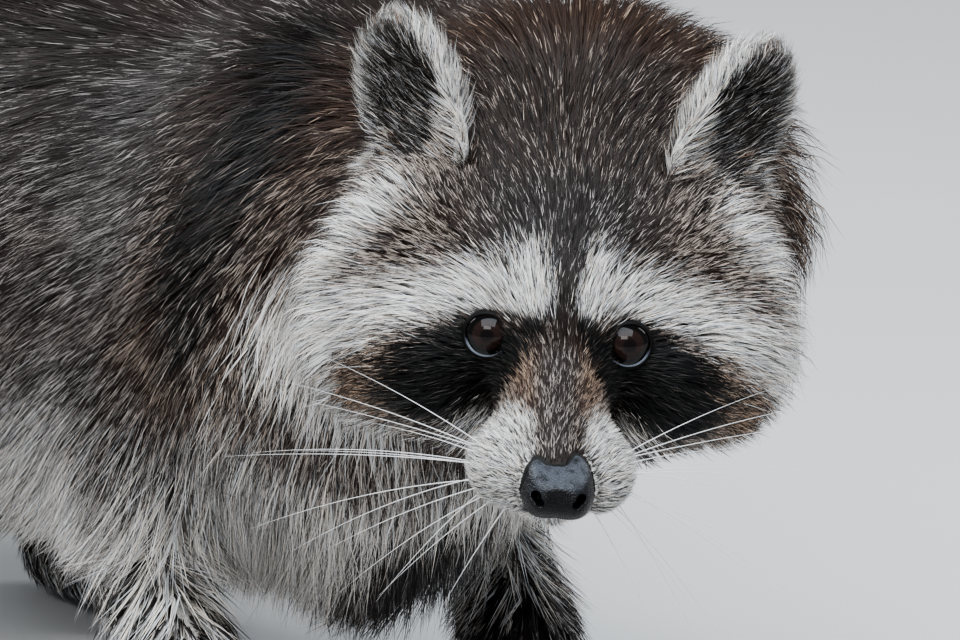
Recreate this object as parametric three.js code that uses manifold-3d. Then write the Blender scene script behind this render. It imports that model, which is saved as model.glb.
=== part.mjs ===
// A raccoon standing on all fours, life size, with its head low and turned to its right.
// Millimetres, +Z up. The trunk heads towards -Y, the raccoon's left is +X, and the soles stand at z 0.
// The body is one smooth field of named masses, out to the tips of the coat, parted with thin cuts.
import * as THREE from "three";
import { mergeVertices } from "three/addons/utils/BufferGeometryUtils.js";
import Module from "manifold-3d";

const wasm = await Module();
wasm.setup();

// ---- Driving dimensions ----
const GAP = 0.4; // clearance left by each cut
const FAR = 2000; // reach of a cutting block

const HEAD = { at: [-36, -162, 220], yaw: -32.5, pitch: 7, roll: 4.5 }; // midpoint between the eyes
const EYE = { at: [20.5, 4, 0], radius: 8.2 };
const SOCKET = { at: [22, -8, 0.5], half: [10, 9, 8.5] }; // hollow of the coat in front of an eye
const EAR = { base: [42.5, 47, 27], lean: { left: 13, right: 8 }, back: 6, turn: 24 };
const EAR_LEAF = { height: 59, halfWidth: 19 };
const NOSE = { at: [0, -49.5, -25], front: 10, root: -46.5 };
const HEAD_BACK = 68; // head frame, where the neck begins
const NECK_BACK = -60; // stance frame, where the trunk begins
const TAIL_START = 352;
const LEG_ROOM = { by: 12, out: 24 }; // how far a leg's own share of the body reaches past its masses
// Cell of the surface net of each sub-part: small where the form is.
const CELL = {
  head: 11.4, ear: 6.6, nose: 4.2, neck: 26, trunk: 37, tail: 25, upperLeg: 24, lowerLeg: 18, paw: 12,
};

// Coat colours of the sub-parts.
const COLOURS = {
  grizzled: 0x6b6259,
  mask: 0x8c857b,
  pale: 0xb9b3a8,
  ring: 0x4a423b,
  paw: 0x8a8178,
  black: 0x17161a,
  claw: 0x2a2523,
};

const radians = THREE.MathUtils.degToRad;

// ---- Fields: each takes a point [x, y, z] and gives its distance from a surface, negative inside ----
const smoothMin = (a, b, k) => {
  const h = Math.max(k - Math.abs(a - b), 0) / k;
  return Math.min(a, b) - (h * h * k) / 4;
};
const joined = (k, ...fields) => (p) => fields.reduce((d, f) => smoothMin(d, f(p), k), FAR);
const carved = (k, field, tool) => (p) => -smoothMin(-field(p), tool(p), k);
const grown = (field, by) => (p) => field(p) - by;
const paired = (field) => ([x, y, z]) => field([Math.abs(x), y, z]);

function ellipsoid(centre, half, tilt = 0) {
  const c = Math.cos(radians(tilt));
  const s = Math.sin(radians(tilt));
  return (p) => {
    const x = p[0] - centre[0];
    const dy = p[1] - centre[1];
    const dz = p[2] - centre[2];
    const y = dy * c + dz * s;
    const z = dz * c - dy * s;
    const near = Math.hypot(x / half[0], y / half[1], z / half[2]);
    const slope = Math.hypot(x / half[0] ** 2, y / half[1] ** 2, z / half[2] ** 2);
    return slope < 1e-9 ? -Math.min(...half) : (near * (near - 1)) / slope;
  };
}

function taper(from, to, radiusFrom, radiusTo) {
  const along = to.map((v, i) => v - from[i]);
  const square = along.reduce((sum, v) => sum + v * v, 0);
  return (p) => {
    const dot = along.reduce((sum, v, i) => sum + v * (p[i] - from[i]), 0);
    const t = THREE.MathUtils.clamp(dot / square, 0, 1);
    const distance = Math.hypot(...p.map((v, i) => v - from[i] - t * along[i]));
    return distance - THREE.MathUtils.lerp(radiusFrom, radiusTo, t);
  };
}

const chain = (k, stations) =>
  joined(k, ...stations.slice(1).map((s, i) => taper(stations[i].at, s.at, stations[i].r, s.r)));

// A field given in a group's own frame, read in the stance frame, and the other way round.
function placed(field, matrix) {
  const inverse = matrix.clone().invert();
  return (p) => field(new THREE.Vector3(...p).applyMatrix4(inverse).toArray());
}
const seenFrom = (field, matrix) => (p) => field(new THREE.Vector3(...p).applyMatrix4(matrix).toArray());

function frameOf({ at, yaw = 0, pitch = 0, roll = 0 }) {
  const turn = new THREE.Euler(radians(pitch), radians(roll), radians(yaw), "ZXY");
  return new THREE.Matrix4().makeRotationFromEuler(turn).setPosition(...at);
}

// ---- Head, in its own frame: -Y towards the nose, midpoint between the eyes at the origin ----
const headFrame = frameOf(HEAD);

const skull = joined(
  10,
  ellipsoid([0, 50, 6], [48, 48, 35]), // cranium
  ellipsoid([0, 16, 2], [32, 22, 19]), // brow
  taper([0, 4, -12], [0, -42, -25.5], 18, 11), // bridge of the muzzle
  paired(ellipsoid([11.5, -26, -29.5], [14, 20, 12.5])), // whisker pads
  paired(ellipsoid([32, 30, -14], [32, 32, 28])), // cheeks
  paired(ellipsoid([51, 45, -13], [28, 26, 35])), // ruff of the cheeks
  paired(ellipsoid([38, 50, 15], [27, 28, 26])), // temples
  ellipsoid([0, 38, -30], [46, 34, 28]), // throat
);
const jaw = taper([0, 16, -37], [0, -33, -38.5], 18, 7.5);
const headField = joined(6, skull, jaw);

const wordOf = (side) => (side > 0 ? "left" : "right");
const earFrame = (side) => {
  const { base, back, turn } = EAR;
  const lean = EAR.lean[wordOf(side)];
  const at = [side * base[0], base[1], base[2]];
  const rotation = new THREE.Euler(radians(-back), radians(side * lean), radians(side * turn), "YXZ");
  return new THREE.Matrix4().makeRotationFromEuler(rotation).setPosition(...at);
};
const earLeaf = carved(
  3,
  ellipsoid([0, 0, EAR_LEAF.height / 2 - 2], [EAR_LEAF.halfWidth, 9, EAR_LEAF.height / 2 + 2]),
  ellipsoid([0, -10.5, EAR_LEAF.height / 2 - 2], [EAR_LEAF.halfWidth - 5, 9.5, EAR_LEAF.height / 2 - 5]),
);

const nosePad = carved(
  1.5,
  joined(
    4,
    ellipsoid([0, NOSE.at[1], NOSE.at[2] + 2], [9.5, NOSE.front, 7.5]),
    paired(ellipsoid([5.5, NOSE.at[1] + 0.5, NOSE.at[2] - 2.5], [6, NOSE.front - 1, 6.5])),
  ),
  paired(taper([4.6, -60, -28.5], [6.2, -54, -27], 1.8, 1.2)), // nostrils
);

// ---- Neck, trunk and tail, in the stance frame ----
const neckEnd = new THREE.Vector3(4, 105, 6).applyMatrix4(headFrame).toArray();
const neck = joined(
  20,
  taper([-2, -12, 208], neckEnd, 86, 68),
  placed(ellipsoid([7, 98, 8], [80, 42, 64]), headFrame), // collar of long coat
);

const trunk = joined(
  34,
  ellipsoid([0, 14, 210], [86, 88, 86]), // chest
  ellipsoid([0, 6, 132], [41, 52, 54]), // breast
  ellipsoid([0, 108, 184], [105, 118, 110]), // ribs
  ellipsoid([0, 200, 174], [114, 115, 104]), // belly
  ellipsoid([0, 222, 204], [94, 112, 102]), // loin
  ellipsoid([0, 288, 190], [98, 84, 96]), // rump
);

const TAIL = [
  { at: [0, 335, 200], r: 46 },
  { at: [3, 400, 182], r: 43 },
  { at: [9, 465, 150], r: 42 },
  { at: [18, 530, 114], r: 41 },
  { at: [28, 590, 86], r: 37 },
  { at: [35, 636, 72], r: 24 },
];
const tail = chain(8, TAIL);

// ---- Legs: a front and a hind pair, one of each set a step ahead ----
const toes = (turns, lengths, radius) => turns.map((turn, n) => ({ turn, length: lengths[n], radius }));
const foreLeg = (side, step) => ({
  side,
  parts: ["upper_arm", "forearm", "hand"],
  upper: { centre: [side * 66, 34 - step * 0.3, 168], half: [38, 52, 70], tilt: 8 },
  lower: [
    { at: [side * 68, 34 - step * 0.5, 108], r: 29 },
    { at: [side * 67, 10 - step * 0.8, 66], r: 23 },
    { at: [side * 66, -8 - step, 30], r: 16.5 },
  ],
  palm: ellipsoid([side * 66, -18 - step, 11], [18, 21, 14]),
  paw: { at: [side * 66, -18 - step, 0], yaw: side * 7, back: 34, root: 12 },
  cuts: { top: 92, ankle: 28 },
  digits: toes([-44, -20, 0, 20, 42], [19, 26, 29, 27, 21], 4.7),
});
const hindLeg = (side, step) => ({
  side,
  parts: ["thigh", "shank", "foot"],
  upper: { centre: [side * 66, 282 - step * 0.5, 136], half: [42, 66, 82], tilt: -14 },
  lower: [
    { at: [side * 74, 250 - step * 0.8, 92], r: 40 },
    { at: [side * 71, 298 - step, 58], r: 28 },
    { at: [side * 70, 322 - step, 28], r: 18 },
  ],
  palm: chain(8, [
    { at: [side * 70, 322 - step, 13], r: 14.5 },
    { at: [side * 73, 270 - step, 12.5], r: 15 },
  ]),
  paw: { at: [side * 73, 266 - step, 0], yaw: side * 7, back: 84, root: 6 },
  cuts: { top: 86, ankle: 28 },
  digits: toes([-28, -13, 0, 13, 27], [18, 23, 25, 23, 19], 5),
});
const LEGS = {
  fore_right: foreLeg(-1, 12),
  fore_left: foreLeg(1, -6),
  hind_right: hindLeg(-1, 18),
  hind_left: hindLeg(1, -20),
};
const CLAW = { length: 10, radius: 1.9, height: 5.6 };
const legField = ({ upper, lower, palm }) =>
  joined(12, ellipsoid(upper.centre, upper.half, upper.tilt), chain(10, lower), palm);

// ---- The whole coat surface, in the stance frame ----
const bodyField = joined(18, joined(30, trunk, neck), tail, ...Object.values(LEGS).map(legField));
const raccoon = joined(20, bodyField, placed(headField, headFrame));

// ---- Surface net: a closed mesh of a field inside a box, with its points set on the surface ----
function netOf(field, low, high, step) {
  const closed = (p) => {
    const outside = p.map((v, i) => Math.max(low[i] - v, v - high[i]));
    return Math.max(field(p), ...outside);
  };
  const size = low.map((v, i) => Math.ceil((high[i] - v) / step) + 5);
  // Where two sheets pass through one cell an edge gets four faces, so the grid is shifted until none does.
  for (const shift of [1.7, 1.55, 1.4, 1.85, 1.3]) {
    const { points, quads } = netOnGrid(closed, low.map((v) => v - shift * step), size, step);
    if (!edgesPair(quads)) continue;
    settle(points, quads, closed, step);
    return meshOf(points, quads);
  }
  throw new Error("no grid gives a closed net");
}

function edgesPair(quads) {
  const uses = new Map();
  for (const q of quads)
    q.forEach((a, n) => {
      const b = q[(n + 1) % 4];
      const key = `${Math.min(a, b)} ${Math.max(a, b)}`;
      uses.set(key, (uses.get(key) ?? 0) + 1);
    });
  return [...uses.values()].every((count) => count === 2);
}

function netOnGrid(closed, start, size, step) {
  const id = (i, j, k) => i + size[0] * (j + size[1] * k);
  const place = (i, j, k) => [start[0] + i * step, start[1] + j * step, start[2] + k * step];
  const values = new Float64Array(size[0] * size[1] * size[2]);
  for (let k = 0; k < size[2]; k++)
    for (let j = 0; j < size[1]; j++)
      for (let i = 0; i < size[0]; i++) values[id(i, j, k)] = closed(place(i, j, k));

  const corners = [0, 1, 2, 3, 4, 5, 6, 7].map((c) => [c & 1, (c >> 1) & 1, (c >> 2) & 1]);
  const edges = corners.flatMap((_, a) => [1, 2, 4].filter((bit) => !(a & bit)).map((bit) => [a, a | bit]));
  const pointOf = new Map();
  const points = [];
  for (let k = 0; k + 1 < size[2]; k++)
    for (let j = 0; j + 1 < size[1]; j++)
      for (let i = 0; i + 1 < size[0]; i++) {
        const at = corners.map(([a, b, c]) => values[id(i + a, j + b, k + c)]);
        if (at.every((v) => v > 0) || at.every((v) => v <= 0)) continue;
        const sum = [0, 0, 0];
        let count = 0;
        for (const [a, b] of edges) {
          if (at[a] > 0 === at[b] > 0) continue;
          const t = at[a] / (at[a] - at[b]);
          corners[a].forEach((v, n) => (sum[n] += v + t * (corners[b][n] - v)));
          count++;
        }
        pointOf.set(id(i, j, k), points.length);
        points.push(place(i, j, k).map((v, n) => v + (sum[n] / count) * step));
      }

  const quads = [];
  for (let k = 1; k + 1 < size[2]; k++)
    for (let j = 1; j + 1 < size[1]; j++)
      for (let i = 1; i + 1 < size[0]; i++) {
        const here = values[id(i, j, k)] > 0;
        [[1, 0, 0], [0, 1, 0], [0, 0, 1]].forEach((axis, n) => {
          if (values[id(i + axis[0], j + axis[1], k + axis[2])] > 0 === here) return;
          const [u, v] = [[0, 0, 0], [0, 0, 0]];
          u[(n + 1) % 3] = 1;
          v[(n + 2) % 3] = 1;
          const ring = [[0, 0], [1, 0], [1, 1], [0, 1]].map(([a, b]) =>
            pointOf.get(id(i - a * u[0] - b * v[0], j - a * u[1] - b * v[1], k - a * u[2] - b * v[2])),
          );
          quads.push(here ? ring.reverse() : ring);
        });
      }

  return { points, quads };
}

// Evens out the points of a net and sets each on the field's surface.
function settle(points, quads, field, step) {
  const near = points.map(() => new Set());
  quads.forEach((q) => q.forEach((a, n) => near[a].add(q[(n + 1) % 4]).add(q[(n + 3) % 4])));
  for (let pass = 0; pass < 4; pass++) {
    if (pass > 0) {
      const before = points.map((p) => [...p]);
      points.forEach((p, a) => {
        const mean = [0, 1, 2].map((n) => [...near[a]].reduce((s, b) => s + before[b][n], 0) / near[a].size);
        p.forEach((v, n) => (p[n] = v + 0.5 * (mean[n] - v)));
      });
    }
    for (const p of points) {
      for (let turn = 0; turn < 3; turn++) {
        const distance = field(p);
        const slope = slopeOf(field, p);
        const square = slope.reduce((s, v) => s + v * v, 0) || 1;
        const move = THREE.MathUtils.clamp(distance / square, -step / 2, step / 2);
        p.forEach((v, n) => (p[n] = v - move * slope[n]));
      }
    }
  }
}

function slopeOf(field, p) {
  const reach = 0.5;
  return [0, 1, 2].map((n) => {
    const ahead = [...p];
    const behind = [...p];
    ahead[n] += reach;
    behind[n] -= reach;
    return (field(ahead) - field(behind)) / (2 * reach);
  });
}

// Quads are split along their shorter diagonal.
function meshOf(points, quads) {
  const gap = (a, b) => Math.hypot(...points[a].map((v, n) => v - points[b][n]));
  const index = quads.flatMap(([a, b, c, d]) =>
    gap(a, c) < gap(b, d) ? [a, b, c, a, c, d] : [a, b, d, b, c, d],
  );
  const geometry = new THREE.BufferGeometry();
  geometry.setAttribute("position", new THREE.Float32BufferAttribute(points.flat(), 3));
  geometry.setIndex(index);
  return geometry;
}

// Moves a net's points outwards along the field's slope, so that its neighbour keeps clear of it.
function swollen(geometry, field, by) {
  const copy = geometry.clone();
  const position = copy.getAttribute("position");
  for (let n = 0; n < position.count; n++) {
    const p = [position.getX(n), position.getY(n), position.getZ(n)];
    const slope = slopeOf(field, p);
    const length = Math.hypot(...slope) || 1;
    position.setXYZ(n, ...p.map((v, i) => v + (by * slope[i]) / length));
  }
  return copy;
}

// ---- Solids: cutting and joining ----
function solid(geometry) {
  const bare = geometry.clone();
  ["normal", "uv"].forEach((name) => bare.deleteAttribute(name));
  const merged = mergeVertices(bare, 1e-4);
  const vertProperties = Float32Array.from(merged.attributes.position.array);
  const triVerts = Uint32Array.from(merged.index.array);
  return new wasm.Manifold(new wasm.Mesh({ numProp: 3, vertProperties, triVerts }));
}

function geometryOf(manifold) {
  const { numProp, vertProperties, triVerts } = manifold.getMesh();
  const count = vertProperties.length / numProp;
  const position = new Float32Array(count * 3);
  for (let n = 0; n < count; n++) position.set(vertProperties.subarray(n * numProp, n * numProp + 3), n * 3);
  const geometry = new THREE.BufferGeometry();
  geometry.setAttribute("position", new THREE.BufferAttribute(position, 3));
  geometry.setIndex(new THREE.BufferAttribute(triVerts, 1));
  return geometry;
}

// A block that fills the side of a plane that its normal points away from, set back by an offset.
function behind(point, normal, offset = 0) {
  const block = new THREE.BoxGeometry(FAR, FAR, FAR);
  block.translate(0, 0, -FAR / 2 - offset);
  const turn = new THREE.Quaternion().setFromUnitVectors(
    new THREE.Vector3(0, 0, 1),
    new THREE.Vector3(...normal).normalize(),
  );
  return solid(block.applyQuaternion(turn).translate(...point));
}

// The two sides of a thin cut.
function parted(whole, point, normal) {
  const away = normal.map((v) => -v);
  return [
    whole.intersect(behind(point, normal, GAP / 2)),
    whole.intersect(behind(point, away, GAP / 2)),
  ];
}

const biggest = (manifold) => manifold.decompose().sort((a, b) => b.volume() - a.volume())[0];

// ---- Scene graph ----
const group = new THREE.Group();
const stance = new THREE.Group();
const headGroup = new THREE.Group();
headGroup.applyMatrix4(headFrame);
stance.add(headGroup);
group.add(stance);

function add(parent, name, manifold, colour, roughness = 0.85) {
  const material = new THREE.MeshStandardMaterial({ color: colour, roughness, metalness: 0 });
  const mesh = new THREE.Mesh(geometryOf(manifold), material);
  mesh.name = name;
  parent.add(mesh);
}

// ---- Head group ----
function buildHead() {
  const around = seenFrom(raccoon, headFrame);
  let whole = solid(netOf(around, [-110, -66, -110], [110, HEAD_BACK + 16, 115], CELL.head));
  whole = whole.intersect(behind([0, HEAD_BACK, 0], [0, 1, 0], GAP / 2));

  [1, -1].forEach((side) => {
    const word = wordOf(side);
    const leaf = netOf(earLeaf, [-24, -14, -14], [24, 14, EAR_LEAF.height + 6], CELL.ear);
    const clear = swollen(leaf, earLeaf, 2 * GAP).applyMatrix4(earFrame(side));
    whole = whole.subtract(solid(clear));
    add(headGroup, `ear_${word}`, solid(leaf.applyMatrix4(earFrame(side))), COLOURS.pale);

    const centre = [side * EYE.at[0], EYE.at[1], EYE.at[2]];
    const ball = (radius) => solid(new THREE.SphereGeometry(radius, 10, 7).translate(...centre));
    const hollow = new THREE.SphereGeometry(1, 10, 7).scale(...SOCKET.half);
    hollow.translate(side * SOCKET.at[0], SOCKET.at[1], SOCKET.at[2]);
    whole = whole.subtract(ball(EYE.radius + GAP)).subtract(solid(hollow));
    add(headGroup, `eye_${word}`, ball(EYE.radius), COLOURS.black, 0.08);
  });

  const pad = solid(netOf(nosePad, [-14, -66, -38], [14, -38, -10], CELL.nose));
  const noseCut = [[0, NOSE.root, NOSE.at[2]], [0, 1, -0.18]];
  add(headGroup, "nose_pad", parted(pad, ...noseCut)[0], COLOURS.black, 0.3);
  whole = parted(whole, ...noseCut)[1];

  const mouth = [0, -47, -34.5];
  const hinge = [0, 12, -36];
  const below = (offset) => behind(mouth, [0, 0.04, 1], offset).intersect(behind(hinge, [0, 1, 0.6], offset));
  add(headGroup, "lower_jaw", biggest(whole.intersect(below(GAP / 2))), COLOURS.pale);
  add(headGroup, "head", biggest(whole.subtract(below(-GAP / 2))), COLOURS.mask);
}

// ---- Neck, trunk and tail ----
const headCut = (away) => {
  const point = new THREE.Vector3(0, HEAD_BACK, 0).applyMatrix4(headFrame).toArray();
  const normal = new THREE.Vector3(0, away, 0).transformDirection(headFrame).toArray();
  return behind(point, normal, GAP / 2);
};

function buildNeckAndTrunk(legRooms) {
  let front = solid(netOf(raccoon, [-125, -190, 70], [125, NECK_BACK + 30, 330], CELL.neck));
  front = front.intersect(headCut(-1)).intersect(behind([0, NECK_BACK, 0], [0, 1, 0], GAP / 2));
  let torso = solid(netOf(raccoon, [-140, NECK_BACK - 30, 40], [140, TAIL_START + 30, 330], CELL.trunk));
  torso = torso.intersect(behind([0, NECK_BACK, 0], [0, -1, 0], GAP / 2));
  torso = torso.intersect(behind([0, TAIL_START, 0], [0, 1, 0], GAP / 2)).intersect(headCut(-1));
  for (const room of legRooms) {
    front = front.subtract(room);
    torso = torso.subtract(room);
  }
  add(stance, "neck", biggest(front), COLOURS.grizzled);
  add(stance, "trunk", biggest(torso), COLOURS.grizzled);
}

// The tail is parted square to its own line, between its dark rings.
function buildTail(legRooms) {
  const whole = solid(netOf(raccoon, [-80, TAIL_START - 24, 20], [110, 700, 320], CELL.tail));
  let rest = whole.intersect(behind([0, TAIL_START, 0], [0, -1, 0], GAP / 2));
  for (const room of legRooms) rest = rest.subtract(room);
  [["tail_base", 2, COLOURS.grizzled], ["tail_middle", 4, COLOURS.ring]].forEach(([name, n, colour]) => {
    const normal = TAIL[n].at.map((v, i) => v - TAIL[n - 1].at[i]);
    const [piece, beyond] = parted(rest, TAIL[n].at, normal);
    add(stance, name, biggest(piece), colour);
    rest = beyond;
  });
  add(stance, "tail_end", biggest(rest), COLOURS.grizzled);
}

// ---- Digits and claws: turned forms along -Y from their root ----
function turned(profile, sides, phase) {
  const points = profile.map(([r, reach]) => new THREE.Vector2(r, -reach)).reverse();
  return new THREE.LatheGeometry(points, sides, phase);
}

const digitShape = (length, r) =>
  turned([[0, -r * 0.6], [r, 0], [r, length * 0.84], [r * 0.62, length], [0, length]], 6, 0);

// A claw sinks towards its tip.
function clawShape(length, r) {
  const geometry = turned([[0, 0], [r, 0], [r * 0.8, length * 0.5], [0, length]], 5, 0.35);
  const position = geometry.getAttribute("position");
  for (let n = 0; n < position.count; n++) {
    const reach = Math.max(-position.getY(n), 0);
    position.setZ(n, position.getZ(n) - 2.6 * (reach / length) ** 2);
  }
  return geometry;
}

// ---- Legs: upper part, lower part, and a paw with five digits and claws ----

// The room of a leg inside the body: its own masses, grown, over an open block around the paw.
function roomOf({ side, upper, lower, paw }, extra) {
  const by = LEG_ROOM.by + extra;
  const ball = new THREE.SphereGeometry(1, 12, 8).rotateX(Math.PI / 2);
  const [across, along, up] = upper.half.map((v) => v + by);
  ball.scale(across + LEG_ROOM.out, along, up).rotateX(-radians(upper.tilt)).translate(...upper.centre);
  ball.translate(side * LEG_ROOM.out, 0, 0);
  const [high, low] = lower;
  const down = new THREE.Vector3(...low.at).sub(new THREE.Vector3(...high.at)).multiplyScalar(1.4);
  const rod = new THREE.CylinderGeometry(low.r + by, high.r + by, down.length(), 12);
  const upright = new THREE.Vector3(0, 1, 0);
  rod.applyQuaternion(new THREE.Quaternion().setFromUnitVectors(upright, down.clone().normalize()));
  rod.translate(...down.multiplyScalar(0.5).add(new THREE.Vector3(...high.at)).toArray());
  const block = new THREE.BoxGeometry(128 + 2 * by, 190 + 2 * by, 64);
  block.translate(paw.at[0], paw.at[1] + 20, 24);
  return solid(ball).add(solid(rod)).add(solid(block));
}

function buildLeg(name, leg) {
  const { parts, paw, cuts, digits } = leg;
  const inside = roomOf(leg, 0);
  const over = (z) => behind([0, 0, z], [0, 0, -1], GAP / 2);
  const under = (z) => behind([0, 0, z], [0, 0, 1], GAP / 2);
  const netBetween = (low, high, step) => {
    const [x, y] = paw.at;
    return solid(netOf(raccoon, [x - 64, y - 70, low], [x + 64, y + 120, high], step)).intersect(inside);
  };
  const upper = netBetween(cuts.top - 20, 250, CELL.upperLeg).intersect(over(cuts.top));
  add(stance, `${parts[0]}_${name}`, biggest(upper), COLOURS.grizzled);
  let lower = netBetween(cuts.ankle - 16, cuts.top + 16, CELL.lowerLeg);
  lower = lower.intersect(over(cuts.ankle)).intersect(under(cuts.top));
  add(stance, `${parts[1]}_${name}`, biggest(lower), COLOURS.ring);

  const frame = frameOf(paw);
  const pawGroup = new THREE.Group();
  pawGroup.applyMatrix4(frame);
  stance.add(pawGroup);
  const sole = netOf(seenFrom(raccoon, frame), [-30, -34, -8], [30, paw.back, cuts.ankle + 12], CELL.paw);
  let foot = biggest(solid(sole).intersect(under(cuts.ankle)));
  digits.forEach(({ turn, length, radius }, n) => {
    const lay = (geometry, out, height) =>
      solid(geometry.translate(0, -out, height).rotateZ(radians(turn * leg.side)));
    foot = foot.add(lay(digitShape(length, radius), paw.root, radius - 0.4));
    const claw = lay(clawShape(CLAW.length, CLAW.radius), paw.root + length + GAP, CLAW.height);
    add(pawGroup, `claw_${name}_${n + 1}`, claw, COLOURS.claw, 0.4);
  });
  foot = foot.intersect(behind([0, 0, 0], [0, 0, -1]));
  add(pawGroup, `${parts[2]}_${name}`, biggest(foot), COLOURS.paw);
  return roomOf(leg, 2 * GAP);
}

buildHead();
const legRooms = Object.entries(LEGS).map(([name, leg]) => buildLeg(name, leg));
buildNeckAndTrunk(legRooms);
buildTail(legRooms);

// The origin is on the floor under the middle of the whole animal.
const box = new THREE.Box3().setFromObject(stance, true);
const middle = box.getCenter(new THREE.Vector3());
stance.position.set(-middle.x, -middle.y, 0);

export default group;
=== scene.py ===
import math

import bmesh
import bpy
import numpy as np
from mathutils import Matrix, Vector


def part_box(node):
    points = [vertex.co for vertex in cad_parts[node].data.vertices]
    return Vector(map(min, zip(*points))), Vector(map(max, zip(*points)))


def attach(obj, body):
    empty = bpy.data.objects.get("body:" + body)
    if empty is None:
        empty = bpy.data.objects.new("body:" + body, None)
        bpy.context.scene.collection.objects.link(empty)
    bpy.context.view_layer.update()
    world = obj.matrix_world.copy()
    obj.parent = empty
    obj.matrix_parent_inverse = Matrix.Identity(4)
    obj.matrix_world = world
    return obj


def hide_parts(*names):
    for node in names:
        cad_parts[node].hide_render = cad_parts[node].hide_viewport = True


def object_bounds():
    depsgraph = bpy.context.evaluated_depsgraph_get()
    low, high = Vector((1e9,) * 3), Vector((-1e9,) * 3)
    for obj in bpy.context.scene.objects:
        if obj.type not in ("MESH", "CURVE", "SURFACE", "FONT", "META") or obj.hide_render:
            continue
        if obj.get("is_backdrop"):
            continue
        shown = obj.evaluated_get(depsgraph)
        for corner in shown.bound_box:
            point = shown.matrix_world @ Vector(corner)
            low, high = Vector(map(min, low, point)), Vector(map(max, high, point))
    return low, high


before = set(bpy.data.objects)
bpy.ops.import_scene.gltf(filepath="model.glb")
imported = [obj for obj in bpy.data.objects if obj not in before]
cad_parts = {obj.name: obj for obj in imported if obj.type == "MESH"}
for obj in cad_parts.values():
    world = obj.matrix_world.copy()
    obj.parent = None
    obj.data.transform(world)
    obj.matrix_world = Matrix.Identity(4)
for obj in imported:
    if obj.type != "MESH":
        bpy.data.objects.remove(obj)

CAD_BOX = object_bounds()
rng = np.random.default_rng(20)
MM = 0.001

# ---- Driving dimensions, in millimetres and degrees ----
HEAD = dict(at=(-36, -162, 220), yaw=-32.5, pitch=7, roll=4.5)
EYE = dict(at=(20.5, 4, 0), radius=8.2, gaze=(0.12, -0.95, 0.26), socket=(0.2, -0.95, 0.2), opening=49)
EAR = dict(base=(42.5, 47, 27), lean={1: 13, -1: 8}, back=6, turn=24, height=59, half_width=19)
NOSE_AT = (0, -49.5, -25)
EYE_HOLE = dict(at=(21.2, 0.4), half=(6.6, 6.1))
MOUTH = ((0, -52, -34.5), (9, -42, -37), (17, -20, -38))
SIDES = (1, -1)

# Spacing of the grids that the surfaces are found on, and the most triangles in a piece of the coat
GRID = dict(body=3.9, head=1.35, paw=1.7, nose=0.42)
COAT_TRIANGLES = 185000


# ---- Frames of reference ----
def turn(axis, degrees):
    """The rotation matrix about one axis."""
    c, s = math.cos(math.radians(degrees)), math.sin(math.radians(degrees))
    rows = {
        "x": ((1, 0, 0), (0, c, -s), (0, s, c)),
        "y": ((c, 0, s), (0, 1, 0), (-s, 0, c)),
        "z": ((c, -s, 0), (s, c, 0), (0, 0, 1)),
    }
    return np.array(rows[axis], dtype=np.float64)


class Place:
    """A frame of reference: its axes and origin, given in the stance frame."""

    def __init__(self, axes, origin):
        self.axes = axes
        self.origin = np.asarray(origin, dtype=np.float64)

    def inside(self, p):
        return ((p - self.origin) @ self.axes).astype(np.float32)

    def outside(self, p):
        return np.asarray(p) @ self.axes.T + self.origin

    def way_out(self, v):
        return np.asarray(v) @ self.axes.T

    def holding(self, axes, origin):
        return Place(self.axes @ axes, self.outside(np.asarray(origin, dtype=np.float64)))


head = Place(turn("z", HEAD["yaw"]) @ turn("x", HEAD["pitch"]) @ turn("y", HEAD["roll"]), HEAD["at"])
ears = {
    side: head.holding(
        turn("y", side * EAR["lean"][side]) @ turn("x", -EAR["back"]) @ turn("z", side * EAR["turn"]),
        (side * EAR["base"][0], EAR["base"][1], EAR["base"][2]),
    )
    for side in SIDES
}

# Where the stance frame's origin is in the scene, worked out from the solid eyes
eyes_box = [np.array(corner) for name in ("eye_left", "eye_right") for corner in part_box(name)]
STANCE = sum(eyes_box) / 4 - head.outside((0, EYE["at"][1], EYE["at"][2])) * MM


def to_world(p):
    return np.asarray(p) * MM + STANCE


def from_world(p):
    return (np.asarray(p) - STANCE) / MM


def folded(p):
    """The points with the right side laid over the left."""
    return np.column_stack((np.abs(p[:, 0]), p[:, 1], p[:, 2]))


# ---- Fields: the distance of points from a surface, negative inside ----
FAR = 90
UNITS = np.eye(3, dtype=np.float32)
CORNERS = [(a, b, c) for a in (0, 1) for b in (0, 1) for c in (0, 1)]


def ease(low, high, x):
    t = np.clip((x - low) / (high - low), 0, 1)
    return t * t * (3 - 2 * t)


def unit(v):
    return v / np.maximum(np.linalg.norm(v, axis=-1, keepdims=True), 1e-9)


def smooth_min(a, b, k):
    h = np.maximum(k - np.abs(a - b), 0) / k
    return np.minimum(a, b) - h * h * (k / 4)


def joined(k, *fields):
    """Several forms in one, with fillets of about k between them."""
    def field(p):
        d = fields[0](p)
        for other in fields[1:]:
            d = smooth_min(d, other(p), k)
        return d
    return field


def carved(k, field, tool):
    return lambda p: -smooth_min(-field(p), tool(p), k)


def swollen(field, by):
    return lambda p: field(p) - by


def shifted(field, by):
    by = np.array(by, dtype=np.float32)
    return lambda p: field(p - by)


def paired(field):
    return lambda p: field(folded(p))


def seen(place, field):
    """A field that is given in a place's own frame, for points in the stance frame."""
    return lambda p: field(place.inside(p))


def only_near(low, high, field):
    """The field inside a box, and a far distance outside it, which saves work."""
    low, high = np.array(low, dtype=np.float32), np.array(high, dtype=np.float32)

    def near(p):
        inside = np.all((p > low) & (p < high), axis=1)
        d = np.full(len(p), FAR, dtype=np.float32)
        if inside.any():
            d[inside] = field(p[inside])
        return d
    return near


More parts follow.
